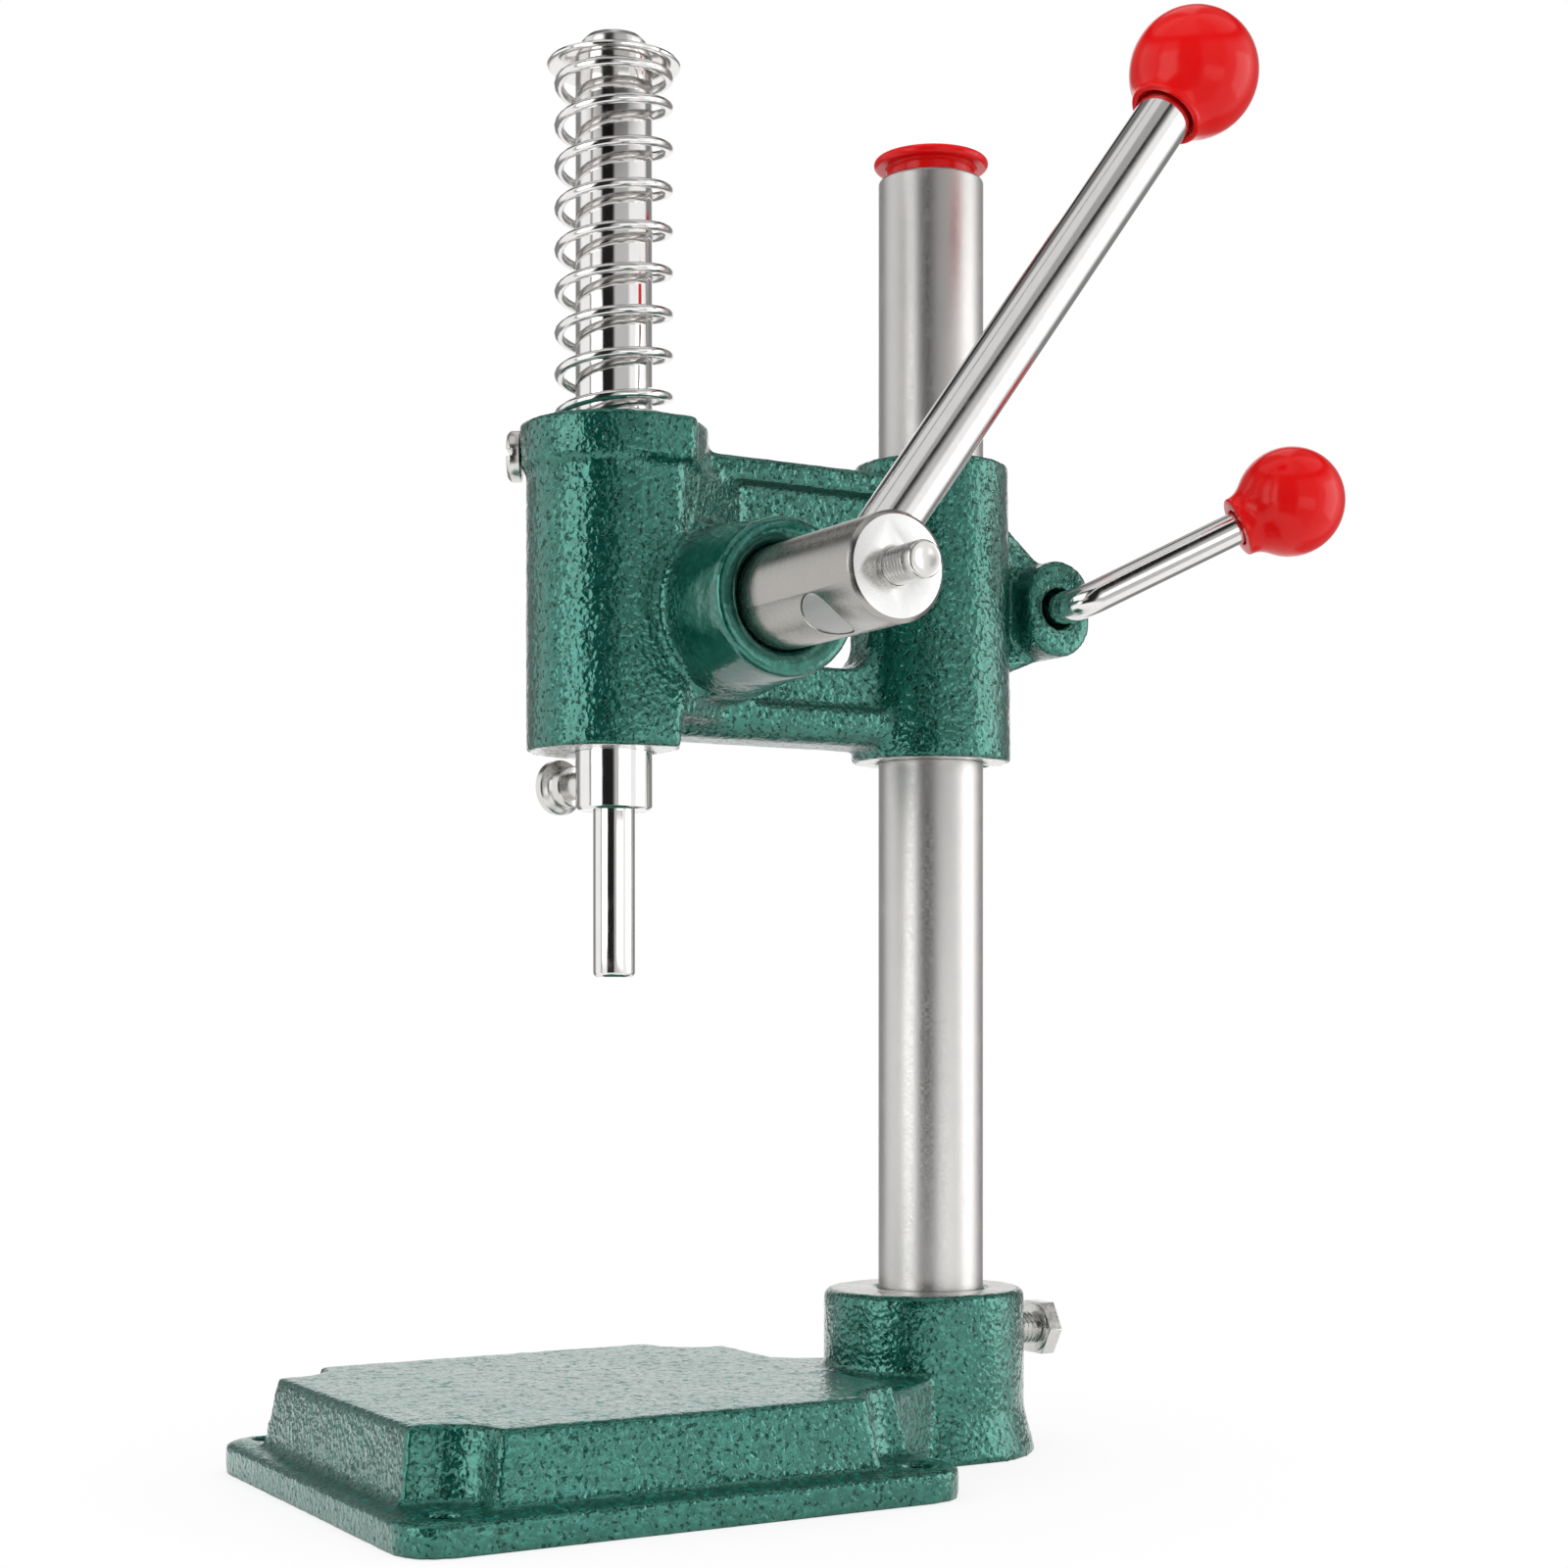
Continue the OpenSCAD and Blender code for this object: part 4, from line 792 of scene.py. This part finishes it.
class PRESS_OT_ram(bpy.types.Operator):
    """Builds the ram with its rack, the washer and screw on top, the punch rod and its screw"""
    bl_idname = "press.ram"
    bl_label = "Ram"

    def execute(self, context):
        sizes = context.scene.press_sizes
        machined("ram_bar", "ram", 0.0002, "bar_z", "ram", "chrome_bar")
        axis = Matrix.Translation((0, RAM_Y, 0))

        # Punch rod: rounded at its foot, and thinner inside the ram
        low, high, _ = node_box("punch_rod")
        r, shoulder = (high.x - low.x) / 2, RAM_LOW.z
        profile = [(0, low.z + 0.0001), (r - 0.0009, low.z), (r - 0.0002, low.z + 0.0006),
                   (r, low.z + 0.0012), (r, shoulder), (r - 0.001, shoulder), (r - 0.001, high.z),
                   (0, high.z)]
        rod = turned("punch_bar", profile, axis, sizes.turned_sides)
        dress(rod, "bar_z", "ram", "chrome_bar", "punch_rod")

        # Washer: a thin rim round a raised dish, with the screw's hole through it
        low, high, _ = node_box("spring_washer")
        rim, seat, hole_r = (high.x - low.x) / 2, low.z, 0.0042
        profile = [(hole_r, seat), (rim * 0.60, seat), (rim * 0.72, seat + 0.0001), (rim - 0.0009, seat),
                   (rim - 0.0002, seat + 0.0003), (rim, seat + 0.0008), (rim - 0.0003, seat + 0.0014),
                   (rim * 0.90, seat + 0.0020), (rim * 0.76, seat + 0.0033), (rim * 0.62, seat + 0.0043),
                   (rim * 0.54, high.z - 0.0001), (rim * 0.48, high.z), (hole_r, high.z), (hole_r, seat)]
        washer = turned("dished_spring_washer", profile, axis, sides=72)
        dress(washer, "wire", "ram", "bright_steel", "spring_washer")
        machined("ram_round_screw", "ram_top_screw", 0.00035, "plated", "ram", "bright_steel")

        # Thumb screw: shank, neck and a flat round grip with a dished face, out from the ram's axis
        low, high, middle = node_box("punch_screw")
        shank_r, neck_r, grip_r = 0.00395, 0.006, (high.z - low.z) / 2
        point, neck, grip = 0.0055, 0.0175, 0.0175 + 0.0048
        face, dish = grip + 0.004, 0.0005
        profile = [(0, point), (shank_r, point), (shank_r, neck), (neck_r - 0.0004, neck),
                   (neck_r, neck + 0.0004), (neck_r, grip - 0.0006), (neck_r + 0.0006, grip),
                   (grip_r - 0.0005, grip + 0.0003), (grip_r, grip + 0.0009), (grip_r, face - 0.0009),
                   (grip_r - 0.0008, face), (grip_r - 0.0022, face), (grip_r - 0.0028, face - dish),
                   (0, face - dish)]
        way = Vector((-math.sin(sizes.thumb_turn), -math.cos(sizes.thumb_turn), 0))
        screw = turned("punch_thumb_screw", profile, along(way, (0, RAM_Y, middle.z)), sides=72)
        dress(screw, "plated", "ram", "bright_steel", "punch_screw")
        return {"FINISHED"}


class PRESS_OT_spring(bpy.types.Operator):
    """Winds the return spring, closed at both ends"""
    bl_idname = "press.spring"
    bl_label = "Return spring"

    def execute(self, context):
        sizes = context.scene.press_sizes
        low, high, _ = node_box("return_spring")
        wire, outer_r, steps = sizes.wire, 0.0170, 32
        coil_r = outer_r - wire / 2
        # The curls at each end lie close, and those between share the rest of the height
        close, ends = wire + 0.0006, 0.75
        rise = high.z - low.z - wire
        open_pitch = (rise - 2 * ends * close) / (sizes.curls - 2 * ends)

        def height(t):
            """Height of the wire after t curls."""
            return (close * (min(t, ends) + max(0.0, t - sizes.curls + ends))
                    + open_pitch * max(0.0, min(t, sizes.curls - ends) - ends))

        bm = bmesh.new()
        ring = bmesh.ops.create_circle(bm, cap_ends=False, segments=12, radius=wire / 2)["verts"]
        bmesh.ops.rotate(bm, cent=(0, 0, 0), matrix=Matrix.Rotation(math.pi / 2, 3, "X"), verts=ring)
        bmesh.ops.translate(bm, vec=(coil_r, RAM_Y - wire, low.z + wire / 2), verts=ring)
        front = pulled(bm, list(bm.edges), (0, wire, 0))
        for k in range(int(sizes.curls * steps)):
            climb = height((k + 1) / steps) - height(k / steps)
            front = bmesh.ops.spin(bm, geom=front, cent=(0, RAM_Y, 0), axis=(0, 0, 1), dvec=(0, 0, climb),
                                   angle=2 * math.pi / steps, steps=1, use_merge=False)["geom_last"]
        turn = 2 * math.pi * sizes.curls
        pulled(bm, [g for g in front if isinstance(g, bmesh.types.BMEdge)],
               (-wire * math.sin(turn), wire * math.cos(turn), 0))
        bmesh.ops.remove_doubles(bm, verts=bm.verts, dist=1e-8)
        ends_closed(bm)
        spring = to_object("return_spring_wire", bm, smooth_deg=40)
        dress(spring, "wire", "head", "spring_steel", "return_spring")
        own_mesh(spring)
        return {"FINISHED"}


class PRESS_OT_clamp(bpy.types.Operator):
    """Builds the bent clamp lever with its knob"""
    bl_idname = "press.clamp"
    bl_label = "Clamp lever"

    def execute(self, context):
        sizes = context.scene.press_sizes
        low, _, _ = node_box("clamp_lever")
        bar_r, ball_r, neck_back, stud_r, stud_l = 0.005, 0.0165, 0.0178, 0.004, 0.013
        point_r, point_l, thread_l, step_l, top_edge = 0.0036, 0.0008, 0.0107, 0.0003, 0.0005
        centre = far_centre("clamp_ball", ball_r)
        rise = math.atan2(centre.z - EAR.z, centre.y - EAR.y)
        bend, bend_x, bend_r = sizes.clamp_bend, sizes.clamp_bend_x, sizes.clamp_bend_r
        run = Vector((math.cos(bend), math.sin(bend), 0))
        elbow = Vector((bend_x + bend_r * math.sin(bend), bend_r * (1 - math.cos(bend)), 0))
        arm = (Matrix.Rotation(-rise, 3, "X") @ (centre - EAR) - elbow).length - neck_back + 0.0017

        # Point of the thread, the thread's root, the plain bar, its bend, its arm and the stud in the knob
        bm = bmesh.new()
        ring = bmesh.ops.create_circle(bm, cap_ends=False, segments=64, radius=point_r)["verts"]
        bmesh.ops.transform(bm, matrix=along((1, 0, 0), (low.x, 0, 0)), verts=ring)
        edges = pulled(bm, list(bm.edges), (point_l, 0, 0), bar_r * SHANK / point_r)
        edges = pulled(bm, edges, (thread_l, 0, 0))
        edges = pulled(bm, edges, (step_l, 0, 0), 1 / SHANK)
        edges = pulled(bm, edges, (bend_x - low.x - point_l - thread_l - step_l, 0, 0))
        verts = list({v for e in edges for v in e.verts})
        bent = bmesh.ops.spin(bm, geom=verts + edges, cent=(bend_x, bend_r, 0), axis=(0, 0, 1), angle=bend,
                              steps=18, use_merge=False)["geom_last"]
        edges = pulled(bm, [g for g in bent if isinstance(g, bmesh.types.BMEdge)], run * (arm - top_edge))
        edges = pulled(bm, edges, run * top_edge, 1 - top_edge / bar_r)
        edges = pulled(bm, edges, (0, 0, 0), stud_r / (bar_r - top_edge))
        pulled(bm, edges, run * stud_l)
        ends_closed(bm)
        tip = bmesh.new()
        thread(tip, bar_r, 0.0006, point_l + thread_l + step_l)
        bmesh.ops.transform(tip, matrix=along((1, 0, 0), (low.x, 0, 0)), verts=tip.verts)
        joined(bm, tip)
        place = Matrix.Translation(EAR) @ Matrix.Rotation(rise, 4, "X")
        bmesh.ops.transform(bm, matrix=place, verts=bm.verts)
        bar = to_object("clamp_bent_bar", bm, smooth_deg=30)
        dress(bar, "bar", "clamp", "chrome_bar", "clamp_lever")

        machined("clamp_insert", "clamp_ball_insert", 0.0001, "brass", "clamp", "brass")
        ball = knob("clamp_knob", centre, Matrix.Rotation(rise, 3, "X") @ run, ball_r, neck_back,
                    neck_r=0.0092, mouth_r=bar_r + 0.0007, bore_r=0.0062, bore_l=stud_l)
        dress(ball, "red", "clamp", "red_plastic", "clamp_ball")
        return {"FINISHED"}


# Stage

class PRESS_OT_stage(bpy.types.Operator):
    """Sets the pale floor, the white room, the lamps and the camera"""
    bl_idname = "press.stage"
    bl_label = "Stage"

    def execute(self, context):
        scene = context.scene
        scene.view_settings.view_transform = "Standard"
        make_camera(scene)
        make_floor()
        make_room(scene)
        # Name, azimuth and height in degrees, distance, width, height and level of each lamp
        for name, azimuth, lift, reach, width, tall, level in (
                ("left_softbox", -80, 8, 1.15, 0.72, 1.00, 1.15),
                ("right_softbox", 58, 6, 1.25, 0.72, 1.00, 1.35),
                ("front_softbox", 4, -8, 1.25, 0.80, 0.47, 1.0),
                ("top_softbox", -30, 78, 1.20, 0.80, 0.80, 1.6)):
            lamp = bpy.data.lights.new(name, "AREA")
            lamp.shape, lamp.size, lamp.size_y = "RECTANGLE", width, tall
            lamp.energy = level * math.pi * width * tall
            box = bpy.data.objects.new(name, lamp)
            a, e = math.radians(azimuth), math.radians(lift)
            away = Vector((math.cos(a) * math.cos(e), math.sin(a) * math.cos(e), math.sin(e)))
            box.location = Vector((0, 0.04, 0.2)) + away * reach
            box.rotation_euler = away.to_track_quat("Z", "Y").to_euler()
            box.visible_camera = False
            box.visible_glossy = name != "top_softbox"
            scene.collection.objects.link(box)
        return {"FINISHED"}


def make_camera(scene):
    """Camera that stands where the photograph's stood."""
    heading, dip = math.radians(CAMERA_HEADING), math.radians(CAMERA_DIP)
    view = Vector((-math.sin(heading), math.cos(heading), -math.tan(dip))).normalized()
    data = bpy.data.cameras.new("photo_view")
    data.lens, data.sensor_width, data.shift_y = CAMERA_LENS, CAMERA_SENSOR, CAMERA_SHIFT
    data.clip_start, data.clip_end = 0.05, 50.0
    camera = bpy.data.objects.new("photo_view", data)
    camera.location = CAMERA_AT
    camera.rotation_euler = view.to_track_quat("-Z", "Y").to_euler()
    scene.collection.objects.link(camera)
    scene.camera = camera


def make_floor():
    """Pale floor that fades to plain white away from the press, and shows its soft shadow. Polished metal
    sees the room through its far part."""
    bm = bmesh.new()
    bmesh.ops.create_grid(bm, x_segments=8, y_segments=8, size=12.0)
    floor = to_object("pale_floor", bm)
    s = Shader("pale_floor")
    s.set(Base_Color=s.colours(s.noise(3.0), (0.88, 0.88, 0.88), (0.92, 0.92, 0.92)), Roughness=0.9,
          Specular_IOR_Level=0.1)
    path = s.add("ShaderNodeLightPath")
    far = s.add("ShaderNodeVectorMath", operation="LENGTH")
    s.link(s.point, far.inputs[0])
    away = far.outputs["Value"]

    def mixed(share, first, second):
        mix = s.add("ShaderNodeMixShader")
        for socket, output in zip(mix.inputs, (share, first, second)):
            s.link(output, socket)
        return mix.outputs[0]

    glow = s.add("ShaderNodeEmission", Strength=1.0)
    clear = s.add("ShaderNodeBsdfTransparent")
    seen = s.times(path.outputs["Is Camera Ray"], s.ranged(away, 0.08, 0.34, 0.78, 1.0))
    reflected = s.times(path.outputs["Is Glossy Ray"], s.ranged(away, 0.30, 0.42))
    surface = mixed(reflected, mixed(seen, s.body.outputs[0], glow.outputs[0]), clear.outputs[0])
    s.link(surface, s.tree.nodes["Material Output"].inputs["Surface"])
    floor.data.materials.append(s.material)


def make_room(scene):
    """White room: plain white to the eye, and panels with dark gaps between them to polished metal."""
    world = bpy.data.worlds.new("white_room")
    world.use_nodes = True
    world.cycles.sampling_method = "NONE"
    scene.world = world
    s = Nodes(world.node_tree, "Generated")
    flat = s.add("ShaderNodeVectorMath", operation="MULTIPLY")
    flat.inputs[1].default_value = (1, 1, 0)
    s.link(s.point, flat.inputs[0])
    level = s.add("ShaderNodeVectorMath", operation="NORMALIZE")
    s.link(flat.outputs[0], level.inputs[0])
    height = s.axis("Z")

    def towards(azimuth):
        """Cosine of the angle between a ray and an azimuth."""
        node = s.add("ShaderNodeVectorMath", operation="DOT_PRODUCT")
        a = math.radians(azimuth)
        node.inputs[1].default_value = (math.cos(a), math.sin(a), 0)
        s.link(level.outputs[0], node.inputs[0])
        return node.outputs["Value"]

    def panel(azimuth, edge_deg, full_deg):
        """Upright panel: 1 within full_deg of its azimuth, and 0 beyond edge_deg."""
        edge, full = math.cos(math.radians(edge_deg)), math.cos(math.radians(full_deg))
        return s.ranged(towards(azimuth), edge, full)

    # Heights are the sine of a ray's lift
    behind = towards(-30)
    gap = s.times(panel(-46, 25, 15), s.ranged(height, 0.74, 0.62))
    flags = s.times(s.ranged(behind, -0.36, -0.62), s.ranged(behind, -0.98, -0.92))
    seam = s.times(s.ranged(height, 0.50, 0.68), s.ranged(height, 0.745, 0.72))
    tone = s.ranged(height, 0.72, 0.76, 1.0, 0.74)
    for dark, share in ((gap, 0.985), (flags, 0.75), (panel(-101, 6, 3), 0.60), (panel(-4, 30, 20), 0.45),
                        (seam, 0.95)):
        tone = s.times(tone, s.without(dark, share))
    path = s.add("ShaderNodeLightPath")
    glossy = path.outputs["Is Glossy Ray"]
    seen = s.plus(path.outputs["Is Camera Ray"], path.outputs["Is Transmission Ray"])
    diffuse = s.times(s.minus(1.0, seen), s.minus(1.0, glossy))
    strength = s.plus(s.plus(seen, s.times(glossy, tone)), s.times(diffuse, 0.92))
    back = s.tree.nodes["Background"]
    back.inputs["Color"].default_value = (1, 1, 1, 1)
    s.link(strength, back.inputs["Strength"])


class PRESS_PT_panel(bpy.types.Panel):
    """Lists the sizes, the finishes and the pieces of the press"""
    bl_label = "Button Press"
    bl_idname = "PRESS_PT_panel"
    bl_space_type = "VIEW_3D"
    bl_region_type = "UI"
    bl_category = "Press"

    def draw(self, context):
        column = self.layout.column()
        for group in (context.scene.press_sizes, context.scene.press_finish):
            for key in group.__annotations__:
                column.prop(group, key)
        for operator in PIECES:
            column.operator(operator.bl_idname)


PIECES = (PRESS_OT_base, PRESS_OT_column, PRESS_OT_head, PRESS_OT_lever, PRESS_OT_ram, PRESS_OT_spring,
          PRESS_OT_clamp, PRESS_OT_stage)
CLASSES = (PressSizes, PressFinish, *PIECES, PRESS_PT_panel)


def register():
    for cls in CLASSES:
        bpy.utils.register_class(cls)
    bpy.types.Scene.press_sizes = PointerProperty(type=PressSizes)
    bpy.types.Scene.press_finish = PointerProperty(type=PressFinish)


def unregister():
    del bpy.types.Scene.press_sizes
    del bpy.types.Scene.press_finish
    for cls in reversed(CLASSES):
        bpy.utils.unregister_class(cls)


def main():
    register()
    make_looks(bpy.context.scene.press_finish)
    bpy.ops.press.base()
    bpy.ops.press.column()
    bpy.ops.press.head()
    bpy.ops.press.lever()
    bpy.ops.press.ram()
    bpy.ops.press.spring()
    bpy.ops.press.clamp()
    bpy.ops.press.stage()


if __name__ == "__main__":
    main()
